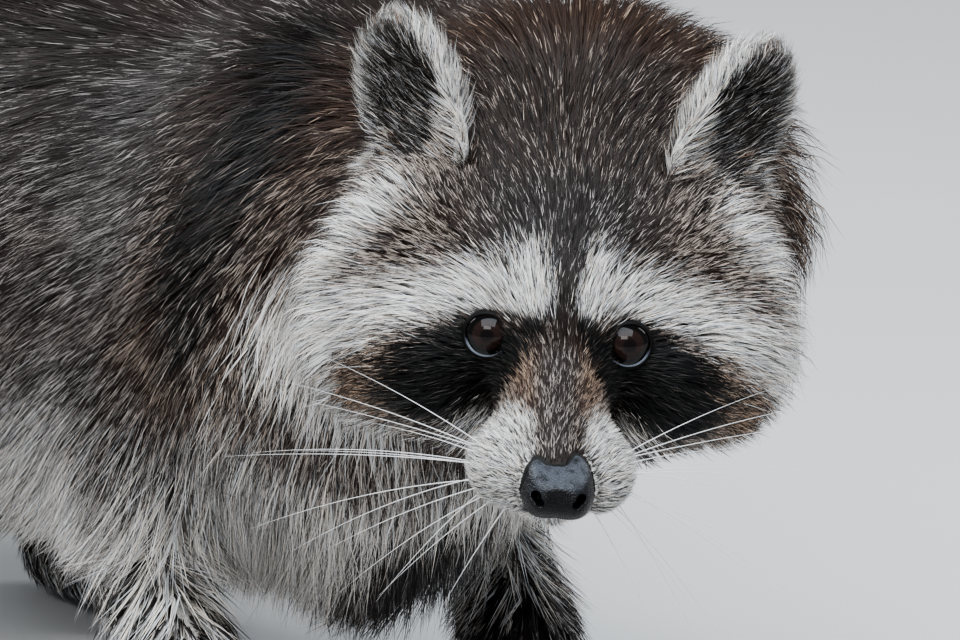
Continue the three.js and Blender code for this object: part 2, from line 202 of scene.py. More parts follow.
def ellipsoid(centre, half, tilt=0):
    axes = turn("x", tilt).astype(np.float32)
    centre = np.array(centre, dtype=np.float32)
    half = np.array(half, dtype=np.float32)

    def field(p):
        q = (p - centre) @ axes
        near = np.sqrt(np.sum((q / half) ** 2, axis=1))
        slope = np.sqrt(np.sum((q / half**2) ** 2, axis=1))
        return near * (near - 1) / np.maximum(slope, 1e-6)
    return field


def taper(start, end, r_start, r_end):
    """A round limb that goes from one radius to another."""
    start = np.array(start, dtype=np.float32)
    along = np.array(end, dtype=np.float32) - start
    square = float(along @ along)

    def field(p):
        q = p - start
        t = np.clip(q @ along / square, 0, 1)
        return np.linalg.norm(q - t[:, None] * along, axis=1) - (r_start + (r_end - r_start) * t)
    return field


def chain(k, stations):
    """Limbs from each station to the next, a station being a point and a radius."""
    pairs = zip(stations, stations[1:])
    return joined(k, *(taper(a[0], b[0], a[1], b[1]) for a, b in pairs))


# ---- Masses of the animal, out to the tips of its coat ----
head_mass = joined(
    6,
    joined(
        10,
        ellipsoid((0, 50, 6), (48, 48, 35)),  # cranium
        ellipsoid((0, 16, 2), (32, 22, 19)),  # brow
        taper((0, 4, -12), (0, -42, -25.5), 18, 11),  # bridge of the muzzle
        paired(ellipsoid((11.5, -26, -29.5), (14, 20, 12.5))),  # whisker pads
        paired(ellipsoid((32, 30, -14), (32, 32, 28))),  # cheeks
        paired(ellipsoid((51, 45, -13), (28, 26, 35))),  # ruff of the cheeks
        paired(ellipsoid((38, 50, 15), (27, 28, 26))),  # temples
        ellipsoid((0, 38, -30), (46, 34, 28)),  # throat
    ),
    taper((0, 16, -37), (0, -33, -38.5), 18, 7.5),  # lower jaw
)
neck_mass = only_near((-190, -240, 40), (150, 130, 400), joined(
    20,
    taper((-2, -12, 208), head.outside((4, 105, 6)), 86, 68),
    seen(head, ellipsoid((7, 98, 8), (80, 42, 64))),
))
trunk_mass = joined(
    34,
    ellipsoid((0, 14, 210), (86, 88, 86)),  # chest
    ellipsoid((0, 6, 132), (41, 52, 54)),  # breast
    ellipsoid((0, 108, 184), (105, 118, 110)),  # ribs
    ellipsoid((0, 200, 174), (114, 115, 104)),  # belly
    ellipsoid((0, 222, 204), (94, 112, 102)),  # loin
    ellipsoid((0, 288, 190), (98, 84, 96)),  # rump
)
TAIL = (
    ((0, 335, 200), 46),
    ((3, 400, 182), 43),
    ((9, 465, 150), 42),
    ((18, 530, 114), 41),
    ((28, 590, 86), 37),
    ((35, 636, 72), 24),
)


def toes(turns, lengths, radius):
    return [(angle, length, radius) for angle, length in zip(turns, lengths)]


def fore_leg(side, step):
    """The forms of a front leg whose paw stands a step ahead of the shoulder."""
    return dict(
        side=side,
        upper=((side * 66, 34 - step * 0.3, 168), (38, 52, 70), 8),
        lower=(
            ((side * 68, 34 - step * 0.5, 108), 29),
            ((side * 67, 10 - step * 0.8, 66), 23),
            ((side * 66, -8 - step, 30), 16.5),
        ),
        palm=ellipsoid((side * 66, -18 - step, 11), (18, 21, 14)),
        paw=dict(at=(side * 66, -18 - step, 0), yaw=side * 7, root=12, back=34),
        toes=toes((-44, -20, 0, 20, 42), (19, 26, 29, 27, 21), 4.7),
    )


def hind_leg(side, step):
    """The forms of a back leg whose paw stands a step ahead of the hip."""
    return dict(
        side=side,
        upper=((side * 66, 282 - step * 0.5, 136), (42, 66, 82), -14),
        lower=(
            ((side * 74, 250 - step * 0.8, 92), 40),
            ((side * 71, 298 - step, 58), 28),
            ((side * 70, 322 - step, 28), 18),
        ),
        palm=chain(8, (((side * 70, 322 - step, 13), 14.5), ((side * 73, 270 - step, 12.5), 15))),
        paw=dict(at=(side * 73, 266 - step, 0), yaw=side * 7, root=6, back=84),
        toes=toes((-28, -13, 0, 13, 27), (18, 23, 25, 23, 19), 5.0),
    )


LEGS = {
    "fore_right": fore_leg(-1, 12),
    "fore_left": fore_leg(1, -6),
    "hind_right": hind_leg(-1, 18),
    "hind_left": hind_leg(1, -20),
}
CLAW = dict(length=10.6, radius=1.9, height=5.6, rise=0.5, droop=3.7, sunk=1.4)
for leg in LEGS.values():
    leg["place"] = Place(turn("z", leg["paw"]["yaw"]), leg["paw"]["at"])


def leg_mass(leg):
    x, y, _ = leg["upper"][0]
    whole = joined(12, ellipsoid(*leg["upper"]), chain(10, leg["lower"]), leg["palm"])
    return only_near((x - 75, y - 140, -60), (x + 75, y + 140, 280), whole)


body_mass = joined(
    18,
    joined(30, trunk_mass, neck_mass),
    only_near((-110, 240, -20), (140, 720, 320), chain(8, TAIL)),
    *map(leg_mass, LEGS.values()),
)
coat_mass = joined(20, body_mass, seen(head, only_near((-140, -110, -130), (140, 170, 110), head_mass)))

# The bare nose, in the head's frame: two rounded wings, and nostrils that end in slits at the sides
nose_body = joined(
    3.2,
    ellipsoid((0, -47.3, -21.6), (9.4, 10.6, 6.6)),
    paired(ellipsoid((4.6, -49.6, -27.2), (6.2, 9.4, 6.6))),
    ellipsoid((0, -48.6, -28.4), (5, 9, 5)),
)
nostrils = paired(joined(
    0.8,
    taper((5.2, -62, -26.8), (5.6, -54.5, -26.4), 1.3, 1.0),
    taper((6.9, -62, -24.9), (6.5, -54, -25.1), 1.7, 1.3),
    chain(0.6, (((7.6, -60, -24.6), 0.9), ((10.4, -56, -25.0), 0.6), ((12.0, -51, -27.2), 0.5))),
))
nose_groove = taper((0, -60, -37), (0, -60.5, -27), 0.75, 0.35)


def above_nose(p):
    """The slanting plane that cuts the top of the nose flat."""
    return 5.6 - p @ np.array((0, -0.44, 0.898), dtype=np.float32)


nose_field = carved(0.5, carved(1.3, nose_body, above_nose), nostrils)
nose_field = shifted(carved(0.6, nose_field, nose_groove), (1.4, 0, -1.5))


# ---- The coat, place by place ----
# Each row: frame and point (off the midline, it stands for both sides), how far it counts, then
# depth of the coat, length of its hair, tufts to the square centimetre, hairs to a tuft, width of a
# hair, how far it stands off, the way it lies (outwards, back, up) and the piece of its tufts.
COAT = (
    ("head", (0, -44, -18), 8, 0.8, 3.2, 180, 3, 0.17, 0.42, (0.2, 0.6, 0.8), "muzzle"),  # top of the nose
    ("head", (9, -44, -33), 7, 0.9, 3.4, 150, 3, 0.18, 0.14, (0.9, 0.5, -0.2), "muzzle"),
    ("head", (15, -30, -29), 11, 1.7, 6.5, 135, 4, 0.2, 0.08, (0.75, 0.65, 0.1), "muzzle"),  # whisker pads
    ("head", (0, -22, -10), 11, 1.5, 5, 150, 4, 0.18, 0.05, (0, 0.85, 0.5), "muzzle"),  # bridge
    ("head", (0, -26, -45), 12, 2.2, 6, 60, 3, 0.3, 0.05, (0, 0.8, -0.6), "muzzle"),  # chin
    ("head", (0, 0, 6), 9, 2.4, 7, 110, 4, 0.25, 0, (0, 0.5, 0.85), "muzzle"),  # between the eyes
    ("head", (21, -3, 1), 9, 1.4, 4.2, 160, 3, 0.2, 0.02, (0.9, 0.5, 0.1), "muzzle"),  # round the eyes
    ("head", (9, 4, 17), 9, 3.2, 9, 115, 4, 0.22, 0.02, (0.12, 0.5, 0.85), "forehead"),  # brows
    ("head", (28, 10, 15), 11, 4, 11, 110, 4, 0.23, 0.02, (0.85, 0.45, 0.22), "forehead"),
    ("head", (0, 28, 34), 16, 5, 8.5, 120, 4, 0.23, 0.05, (0, 0.85, 0.5), "forehead"),
    ("head", (22, 32, 32), 14, 5.5, 9, 115, 4, 0.23, 0.05, (0.6, 0.75, 0.3), "forehead"),
    ("head", (0, 62, 44), 22, 9, 15, 80, 5, 0.26, 0.05, (0, 1, 0), "forehead"),  # crown
    ("head", (50, 22, 12), 15, 7, 14, 95, 4, 0.27, 0.02, (0.9, 0.5, -0.15), "temple"),
    ("head", (40, 6, -14), 14, 4, 9.5, 105, 4, 0.25, 0.02, (0.9, 0.4, -0.2), "cheek"),  # mask
    ("head", (42, 22, -38), 16, 10, 17, 56, 5, 0.3, 0.05, (0.75, 0.4, -0.6), "cheek"),
    ("head", (70, 44, -8), 18, 19, 28, 50, 6, 0.3, 0.08, (0.75, 0.5, -0.6), "cheek"),  # ruff
    ("head", (62, 42, 18), 14, 12, 21, 62, 5, 0.32, 0.1, (0.8, 0.5, -0.3), "temple"),
    ("head", (32, 40, -60), 22, 18, 32, 26, 6, 0.48, 0.05, (0.35, 0.45, -0.85), "cheek"),  # throat
    ("head", (0, 30, -60), 18, 14, 24, 24, 5, 0.5, 0.05, (0, 0.6, -0.8), "cheek"),
    ("head", (40, 42, 34), 12, 4, 12, 90, 4, 0.28, 0.1, (0.45, 0.6, 0.55), "temple"),  # root of the ear
    ("head", (27, 47, 38), 7, 4, 11, 230, 4, 0.26, 0.2, (0.5, 0.3, 0.8), "temple"),
    ("head", (0, 100, 70), 32, 22, 30, 30, 6, 0.38, 0.05, (0.6, 0.8, -0.6), "nape"),
    ("head", (75, 95, 10), 36, 23, 32, 30, 6, 0.36, 0.04, (0.05, 0.25, -1), "neck"),
    ("head", (0, 85, -70), 34, 24, 42, 17, 6, 0.55, 0.02, (0, 0.5, -0.85), "neck"),
    ("ear", (0, 0, 52), 13, 1.8, 6.2, 180, 4, 0.18, 0.62, (0.05, 0.1, 1), "ears"),  # top of the rim
    ("ear", (16, 2, 32), 9, 1.8, 6, 170, 4, 0.18, 0.5, (0.55, 0.2, 0.8), "ears"),
    ("ear", (-16, 2, 32), 9, 1.6, 5, 160, 4, 0.2, 0.4, (-0.2, 0, 1), "ears"),
    ("ear", (0, 8, 26), 11, 1.6, 8, 100, 4, 0.28, 0.08, (0.1, 0.15, 1), "ears"),  # back of the ear
    ("ear", (2, -1, 28), 9, 1.6, 9, 90, 3, 0.17, 0.22, (0.5, -0.1, 0.85), "ears"),  # inside
    ("ear", (-10, -3, 12), 8, 1.8, 14, 75, 4, 0.19, 0.36, (0.7, -0.2, 0.7), "ears"),
    ("stance", (0, -30, 140), 40, 27, 50, 15, 6, 0.58, 0.02, (0, 0.1, -1), "chest"),
    ("stance", (86, 20, 205), 50, 26, 34, 26, 6, 0.42, 0.03, (0.1, 0.55, -0.9), "shoulder"),
    ("stance", (0, 70, 275), 52, 27, 38, 17, 6, 0.5, 0.03, (0.8, 0.6, -0.8), "back"),
    ("stance", (0, 230, 280), 70, 28, 46, 7, 6, 0.75, 0.02, (0.4, 0.9, -0.5), "back"),
    ("stance", (95, 130, 180), 60, 29, 44, 9, 6, 0.7, 0.02, (0, 0.7, -0.8), "flank"),
    ("stance", (0, 150, 90), 60, 24, 42, 4, 6, 1.0, 0, (0, 1, -0.1), "flank"),
    ("stance", (0, 345, 225), 46, 27, 46, 7.5, 6, 0.9, 0, (0, 1, -0.4), "back"),
    ("stance", (92, 285, 150), 46, 21, 38, 8, 6, 0.85, 0, (0, 0.6, -0.8), "thigh"),
    ("stance", (84, 30, 140), 34, 20, 32, 19, 6, 0.45, 0.02, (0, 0.3, -0.95), "shoulder"),
    ("stance", (68, 6, 66), 24, 8, 15, 26, 5, 0.42, 0, (0, 0.2, -1), "fore_legs"),
    ("stance", (66, -20, 14), 17, 1.1, 5, 34, 3, 0.42, 0, (0, -1, -0.25), "fore_legs"),
    ("stance", (72, 295, 58), 26, 9, 16, 14, 5, 0.62, 0, (0, 0.2, -1), "hind_legs"),
    ("stance", (72, 285, 14), 26, 1.1, 5, 22, 3, 0.48, 0, (0, -1, -0.2), "hind_legs"),
    ("tail", (3, 400, 182), 40, 27, 42, 13, 6, 0.8, 0.04, (0, 1, -0.5), "tail"),
    ("tail", (12, 490, 136), 40, 27, 42, 13, 6, 0.8, 0.04, (0.1, 1, -0.55), "tail"),
    ("tail", (27, 585, 88), 34, 24, 40, 15, 6, 0.75, 0.04, (0.15, 1, -0.45), "tail"),
    ("tail", (35, 640, 71), 20, 15, 32, 22, 6, 0.7, 0, (0.15, 1, -0.25), "tail"),
)
STRAIGHT = ("back", "flank", "thigh", "shoulder", "fore_legs", "hind_legs", "tail", "chest")
DEPTH, LENGTH, DENSITY, HAIRS, WIDTH, STAND, LIE, PIECE = range(3, 11)
MIRROR = np.array((-1, 1, 1), dtype=np.float32)


def in_frames(p):
    """The points in each frame that the rows of the coat use, the ears as one on its side."""
    in_head = head.inside(p)
    left, right = ears[1].inside(p), ears[-1].inside(p) * MIRROR
    own_ear = np.where(in_head[:, :1] > 0, left, right)
    return {"head": in_head, "ear": own_ear, "stance": np.asarray(p, dtype=np.float32), "tail": p}


def coat_weights(p):
    """How much each row of the coat counts at each point, as shares of one."""
    local = in_frames(p)
    weights = np.empty((len(COAT), len(p)), dtype=np.float32)
    for n, (kind, centre, spread, *_) in enumerate(COAT):
        q = local[kind]
        x = q[:, 0] if kind in ("tail", "ear") else np.abs(q[:, 0])
        away = (x - centre[0]) ** 2 + (q[:, 1] - centre[1]) ** 2 + (q[:, 2] - centre[2]) ** 2
        weights[n] = np.exp(away / (-2 * spread**2)) + 1e-12 / (1 + away)
    return weights / weights.sum(axis=0)


def coat_setting(column, weights):
    """One column of the coat's rows, blended by their shares."""
    return np.array([row[column] for row in COAT], dtype=np.float32) @ weights


def coat_lie(p, weights):
    """The way that the hair lies, not yet laid along the skin."""
    local = in_frames(p)
    on_left = local["head"][:, :1] > 0
    outwards = {
        "head": np.clip(local["head"][:, 0] / 8, -1, 1),
        "ear": np.where(on_left[:, 0], 1, -1),
        "stance": np.clip(local["stance"][:, 0] / 40, -1, 1),
        "tail": 1,
    }
    lie = np.zeros((len(p), 3))
    for row, share in zip(COAT, weights):
        kind, (out, back, up) = row[0], row[LIE]
        way = np.column_stack((out * outwards[kind] + 0 * share, back + 0 * share, up + 0 * share))
        if kind == "head":
            way = head.way_out(way)
        elif kind == "ear":
            way = np.where(on_left, ears[1].way_out(way), ears[-1].way_out(way))
        lie += share[:, None] * way
    return lie


# ---- The skin, inside the coat by its depth ----
EAR_HALF = (EAR["half_width"] - 3.2, 5.5, EAR["height"] / 2 - 1.5)
ear_leaf = ellipsoid((-0.8, 1.5, EAR["height"] / 2 - 5.5), EAR_HALF)
ear_hollow = ellipsoid(
    (-0.3, -6.5, EAR["height"] / 2 - 4.5),
    (EAR["half_width"] - 4.8, 8.8, EAR["height"] / 2 - 4),
)


def leaned(q):
    """The ear's frame with the tip of the ear drawn outwards."""
    return np.column_stack((q[:, 0] - 0.12 * (q[:, 2] - 12), q[:, 1], q[:, 2]))


def ear_shell(side, coat=0.0):
    """One ear, bare or out to the tips of its coat."""
    leaf = carved(2, ear_leaf, ear_hollow)
    to_left = np.array((side, 1, 1), dtype=np.float32)
    return seen(ears[side], swollen(lambda q: leaf(leaned(q * to_left)), coat))


def toe_mass(leg):
    """The bare toes of a leg, each with its knuckle."""
    masses = []
    for angle, length, radius in leg["toes"]:
        swing = turn("z", angle * leg["side"])
        root = swing @ (0, -leg["paw"]["root"] + 2, radius + 1.5)
        knuckle = swing @ (0, -leg["paw"]["root"] - length * 0.55, radius + 0.6)
        tip = swing @ (0, -leg["paw"]["root"] - length + radius * 0.7, radius - 0.6)
        masses.append(chain(2, ((root, radius), (knuckle, radius * 0.92), (tip, radius * 0.88))))
    return seen(leg["place"], joined(1.5, *masses))


def eye_hole(back, depth):
    """The opening between the lids of the left eye."""
    (across, up), (half_width, half_height) = EYE_HOLE["at"], EYE_HOLE["half"]
    return ellipsoid((across, back, up), (half_width, depth, half_height))


def mouth_line(*radii):
    """The parting of the lips, from the middle to its left corner."""
    return chain(2, list(zip(MOUTH, radii)))


def under_coat(p):
    return coat_mass(p) + coat_setting(DEPTH, coat_weights(p))


def head_skin(p):
    """The skin of the head, with ears, openings for the eyes and nose, and a groove for the mouth."""
    whole = joined(4, under_coat, ear_shell(1), ear_shell(-1))
    nose_hole = ellipsoid((0, NOSE_AT[1] - 4, NOSE_AT[2]), (9, 6, 6))
    holes = seen(head, joined(1, paired(eye_hole(back=-6.5, depth=8.2)), nose_hole))
    mouth = seen(head, paired(mouth_line(1.2, 1.1, 0.9)))
    return carved(1.2, carved(1, whole, holes), mouth)(p)


def body_skin(p):
    """The skin of the rest, a little sunk where the finer head and paws overlap it."""
    q = head.inside(p)
    by_head = ease(86, 60, q[:, 1]) * ease(-130, -100, q[:, 2])
    by_paw = ease(40, 30, p[:, 2])
    return np.maximum(under_coat(p) + 1.2 * by_head + by_paw, 60 - q[:, 1])


def paw_skin(leg):
    """The skin of a foot, flat where it stands on the floor."""
    foot = joined(3, under_coat, toe_mass(leg))
    return lambda p: np.maximum(foot(p), 0.05 - p[:, 2])


# ---- Surface nets ----
def sampled(field, axes, step, block=4):
    """The field on a grid, worked out finely only near its surface."""
    middles = [axis[::block] + step * (block - 1) / 2 for axis in axes]
    grid = np.stack(np.meshgrid(*middles, indexing="ij"), axis=-1)
    coarse = field(grid.reshape(-1, 3)).reshape(grid.shape[:3])
    values = coarse.repeat(block, 0).repeat(block, 1).repeat(block, 2)
    values = np.ascontiguousarray(values[:len(axes[0]), :len(axes[1]), :len(axes[2])])
    near = np.abs(values) < 1.25 * step * block
    i, j, k = np.nonzero(near)
    values[near] = field(np.column_stack((axes[0][i], axes[1][j], axes[2][k])))
    return values


def surface_net(field, low, high, step):
    """A closed mesh of quads on a field's surface inside a box: (points, quads)."""
    low, high = np.array(low, dtype=np.float32), np.array(high, dtype=np.float32)

    def closed(p):
        return np.maximum(field(p), np.max(np.maximum(low - p, p - high), axis=1))

    # the grid reaches a little past the box, so that the surface closes inside it
    start = low - 1.7 * step
    size = np.ceil((high - low) / step).astype(int) + 5
    axes = [start[i] + step * np.arange(size[i], dtype=np.float32) for i in range(3)]
    values = sampled(closed, axes, step)

    # each cell that the surface cuts gets one point, the mean of the crossings on its edges
    solid = values <= 0
    last = size - 1
    count = sum(
        solid[a:last[0] + a, b:last[1] + b, c:last[2] + c].astype(np.int8) for a, b, c in CORNERS
    )
    cells = np.argwhere((count > 0) & (count < len(CORNERS)))
    ids = np.full(last, -1, dtype=np.int64)
    ids[tuple(cells.T)] = np.arange(len(cells))
    total = np.zeros((len(cells), 3), dtype=np.float32)
    crossings = np.zeros(len(cells), dtype=np.float32)
    for a in CORNERS:
        for axis in range(3):
            if a[axis]:
                continue
            b = tuple(v + (n == axis) for n, v in enumerate(a))
            va = values[tuple((cells + a).T)]
            vb = values[tuple((cells + b).T)]
            cross = (va <= 0) != (vb <= 0)
            t = np.where(cross, va / np.where(cross, va - vb, 1), 0)
            spot = np.array(a, dtype=np.float32) + UNITS[axis] * t[:, None]
            total += spot * cross[:, None]
            crossings += cross
    points = start + step * (cells + total / crossings[:, None])

    # each grid edge that the surface cuts joins the points of the four cells round it
    quads = []
    for axis in range(3):
        u, v = np.eye(3, dtype=int)[(axis + 1) % 3], np.eye(3, dtype=int)[(axis + 2) % 3]
        ahead = tuple(slice(1, None) if n == axis else slice(None) for n in range(3))
        back = tuple(slice(None, -1) if n == axis else slice(None) for n in range(3))
        edges = np.argwhere(solid[back] != solid[ahead])
        entering = ~solid[tuple(edges.T)]
        ring = [ids[tuple((edges - a * u - b * v).T)] for a, b in ((0, 0), (1, 0), (1, 1), (0, 1))]
        ring = np.column_stack(ring)
        ring[entering] = ring[entering][:, ::-1]
        quads.append(ring)
    return settled(points, closed), np.vstack(quads)


def slope_of(field, p, reach=0.4):
    """The field at each point, and the way and rate that it grows."""
    here = field(p)
    ahead = [field(p + reach * axis) - here for axis in UNITS]
    return here, np.column_stack(ahead) / reach


def settled(points, field, passes=2):
    """Points moved along the field's slope until they stand on its surface."""
    p = points.astype(np.float32)
    for _ in range(passes):
        here, slope = slope_of(field, p)
        square = np.maximum(np.sum(slope**2, axis=1), 0.05)
        p = p + (-here / square)[:, None] * slope
    return p


# ---- Meshes ----
def mesh_from(name, points, faces_by_size):
    """A smooth mesh: points in metres, and one array of faces for each number of corners."""
    mesh = bpy.data.meshes.new(name)
    mesh.vertices.add(len(points))
    mesh.vertices.foreach_set("co", np.ascontiguousarray(points, dtype=np.float32).ravel())
    sizes = np.concatenate([np.full(len(f), f.shape[1]) for f in faces_by_size])
    loops = np.concatenate([f.ravel() for f in faces_by_size])
    starts = np.concatenate(([0], np.cumsum(sizes)[:-1]))
    mesh.loops.add(len(loops))
    mesh.loops.foreach_set("vertex_index", loops.astype(np.int32))
    mesh.polygons.add(len(sizes))
    mesh.polygons.foreach_set("loop_start", starts.astype(np.int32))
    mesh.update(calc_edges=True)
    mesh.shade_smooth()
    return mesh


def show(name, mesh):
    piece = bpy.data.objects.new(name, mesh)
    bpy.context.scene.collection.objects.link(piece)
    return piece


def store(mesh, name, *columns):
    """One number, or four as a colour, at each point of the mesh, for its material."""
    values = np.column_stack(columns).astype(np.float32)
    kind, field = ("FLOAT", "value") if values.shape[1] == 1 else ("FLOAT_COLOR", "color")
    mesh.attributes.new(name, kind, "POINT").data.foreach_set(field, values.ravel())


def points_of(mesh):
    points = np.empty(len(mesh.vertices) * 3, dtype=np.float32)
    mesh.vertices.foreach_get("co", points)
    return from_world(points.reshape(-1, 3))


def made_plain(piece):
    """The piece as its modifiers leave it, as a plain mesh, without them."""
    depsgraph = bpy.context.evaluated_depsgraph_get()
    mesh = bpy.data.meshes.new_from_object(piece.evaluated_get(depsgraph), depsgraph=depsgraph)
    piece.modifiers.clear()
    piece.data = mesh


def build_skin():
    """One closed skin: the body, joined to the finer meshes of the head and the paws."""
    def part(name, low, high, step, field, place=None):
        points, quads = surface_net(field, low, high, step)
        points = place.outside(points) if place else points
        return show(name, mesh_from(name, to_world(points), [quads]))

    def head_field(p):
        return head_skin(head.outside(p).astype(np.float32))

    others = [part("head_part", (-92, -62, -84), (92, 74, 96), GRID["head"], head_field, head)]
    skin = part("skin", (-125, -190, 8), (125, 680, 320), GRID["body"], body_skin)
    for name, leg in LEGS.items():
        x, y, _ = leg["paw"]["at"]
        low, high = (x - 36, y - 44, -6), (x + 36, y + leg["paw"]["back"] + 8, 36)
        others.append(part(name, low, high, GRID["paw"], paw_skin(leg)))
    for other in others:
        union = skin.modifiers.new(other.name, "BOOLEAN")
        union.operation = "UNION"
        union.solver = "MANIFOLD"
        union.object = other
    made_plain(skin)
    for other in others:
        bpy.data.objects.remove(other)
    skin.data.shade_smooth()
    return skin


# ---- Markings, the same for skin and coat ----
def blot(field, soft):
    """A patch with a soft edge: one inside the field, nothing outside."""
    return lambda q: 1 - ease(-soft, soft, field(q))


brow_patch = joined(
    3,
    chain(4, (((9, 0, 15), 6.5), ((11.5, 8, 24), 4.5))),
    chain(4, (((10, 2, 15), 6), ((27, 9, 14), 7), ((50, 14, 3), 8.5), ((70, 36, -18), 15))),
)
mask_patch = chain(4, (
    ((17, -4, -4), 9.5), ((26, 2, -9), 13.5), ((41, 7, -18), 15.5), ((56, 18, -27), 12), ((66, 30, -34), 6),
))
inner_corner = taper((13, -6, -1), (7.5, -4, 8), 5, 3)
behind_mask = taper((62, 24, -34), (42, 12, -37), 9, 5)
stripe = joined(3, taper((1.3, -46, -16), (1.3, -25, -9), 7, 8), chain(3, (
    ((1.3, -25, -9), 8), ((1.6, -4, 10), 4), ((2, 8, 24), 3.6), ((1.5, 25, 36), 7),
)))
side_of_bridge = chain(4, (((9, -26, -12), 4.5), ((12, -12, -4), 5), ((9, -3, 8), 3)))
muzzle_patch = joined(8, ellipsoid((10, -34, -30), (24, 24, 20)), ellipsoid((20, -12, -38), (22, 24, 15)))
low_cheek = chain(12, (((40, 20, -60), 13), ((70, 48, -46), 18), ((30, 48, -84), 20)))
ruff_band = chain(10, (((54, 38, 33), 7), ((66, 40, 19), 8), ((78, 52, -4), 12), ((84, 60, -32), 16)))
# the path of the painted shade in the furrow between the ruff of the neck and the shoulder
neck_furrow_shade = chain(10, (
    ((37, -17, 291), 15), ((56, -31, 276), 13), ((68, -36, 262), 13),
    ((84, -33, 236), 15), ((90, -29, 214), 15), ((90, -24, 192), 10),
))
shoulder_patch = taper((90, -16, 190), (92, 16, 146), 26, 22)
RINGS = dict(way=(0.83, -0.55), first=238, spacing=48, tip=470, sharpness=5)


def cloud(p, size, seed):
    """Smooth random numbers from 0 to 1 over space, in blots of about the given size."""
    grid = np.asarray(p, dtype=np.float64) / size + 1000
    cell = np.floor(grid).astype(np.int64)
    part = grid - cell
    part = part * part * (3 - 2 * part)
    total = np.zeros(len(grid))
    for corner in CORNERS:
        at = cell + corner
        number = (at[:, 0] * 73856093) ^ (at[:, 1] * 19349663) ^ (at[:, 2] * 83492791) ^ (seed * 2654435761)
        number = ((number ^ (number >> 13)) * 1274126177) & 0xFFFF
        share = np.prod(np.where(corner, part, 1 - part), axis=1)
        total += share * number / 65535
    return total


def face_marks(q):
    """The face: brows, mask, muzzle, cheeks and the stripe down its middle."""
    m = folded(q)
    brow_edge = 0.45 * blot(swollen(brow_patch, 5), 6)(m) * ease(8, 16, m[:, 2])
    brow = np.maximum(blot(brow_patch, 3)(m), brow_edge)
    mask = np.maximum(blot(mask_patch, 3.2)(m), blot(inner_corner, 1.5)(m))
    middle = blot(stripe, 2.5)(q)
    nose_rim = blot(swollen(nose_field, 0.6), 0.5)(q)
    muzzle_edge = (0.1 + 0.35 * ease(-26, -34, m[:, 2])) * blot(swollen(muzzle_patch, 5), 5)(m)
    muzzle = np.maximum(blot(muzzle_patch, 5)(m), muzzle_edge) * (1 - middle)
    cheek = 0.95 * blot(low_cheek, 9)(m)
    ruff = blot(ruff_band, 6)(m)
    pale = np.maximum.reduce((brow, muzzle, cheek, ruff)) * (1 - mask) * (1 - 0.95 * middle)
    pale = pale * (1 - nose_rim)

    inner_side = ease(17, 10, m[:, 0]) * ease(3, -6, m[:, 2])
    dark_mask = mask * (1 - 0.6 * ease(42, 60, m[:, 0])) * (1 - 0.4 * inner_side)
    forehead = (0.2 + 0.16 * ease(20, 40, q[:, 1])) * ease(2, 14, q[:, 2]) * (1 - pale)
    black = np.maximum(np.maximum(dark_mask, nose_rim), forehead)
    black = black * (1 - 0.8 * blot(behind_mask, 6)(m))

    outer = blot(mask_patch, 10)(m) * ease(40, 58, m[:, 0])
    warm = 0.5 + 0.4 * blot(side_of_bridge, 4)(m) + 0.5 * outer
    warm = warm - 0.2 * ease(8, 3, m[:, 0]) * ease(0, -12, q[:, 1])
    warm = warm - 0.4 * ease(34, 12, m[:, 0]) * ease(2, 16, q[:, 2]) * ease(44, 26, q[:, 1])
    tips = 0.2 - 0.07 * middle + 0.3 * ease(26, 46, m[:, 0]) + 0.12 * ease(0, -16, q[:, 1])
    tips = tips - 0.02 * ease(24, 44, q[:, 1])
    return pale, black, warm, tips


def body_marks(face, q, s):
    """Behind the face: reddish nape, painted shade in the furrow behind the neck and on the chest between
    the forelegs, pale flanks and chest.
    """
    pale, black, warm, tips = face
    sides = folded(s)
    on_face = ease(92, 64, q[:, 1]) * ease(-120, -95, q[:, 2])
    behind = 1 - on_face
    # painted shade: the furrow gets black hair, fewer light bands and less red
    furrow = blot(neck_furrow_shade, 8)(sides)
    ragged = 26 * (cloud(s * (1.2, 1.2, 0.5), 14, 5) - 0.5)
    low = ease(192, 118, s[:, 2] + ragged) * ease(420, 300, s[:, 1])
    breast = ease(0, -50, s[:, 1]) * ease(222, 182, s[:, 2]) * ease(96, 74, sides[:, 0])
    shoulder = blot(shoulder_patch, 16)(sides)
    # painted shade: the chest between the forelegs is darkened and loses its pale hair
    between = ease(34, 16, sides[:, 0]) * ease(142, 122, s[:, 2]) * ease(20, -20, s[:, 1])
    flank = (0.7 - 0.3 * ease(150, 280, s[:, 1])) * low * (1 - 0.4 * shoulder)
    pale = pale * on_face + behind * np.maximum(flank, 0.9 * breast) * (1 - between)
    black = black * on_face + behind * np.maximum(0.75 * furrow, 0.7 * between)

    nape = ease(150, 60, q[:, 1]) * ease(-20, 30, q[:, 2])
    neck = ease(112, 88, q[:, 1]) * ease(-85, -45, q[:, 2]) * (1 - furrow)
    warm = warm * on_face + behind * (0.05 + 0.3 * cloud(s, 22, 3) + 0.7 * np.maximum(nape, neck))
    patchy = cloud(s * (1.6, 0.8, 0.9), 16, 1) + 0.6 * cloud(s, 7, 2) - 0.3
    high = ease(215, 275, s[:, 2])
    grizzle = (0.3 + 0.6 * patchy) * (1 - 0.62 * high) * (1 - 0.3 * nape) * (1 - 0.7 * furrow)
    tips = tips * on_face + behind * (
        grizzle + 0.45 * neck * (1 - high) + 0.45 * ease(245, 175, s[:, 2])
        + 0.3 * shoulder * (1 - furrow)
    )
    return pale, black, warm, tips


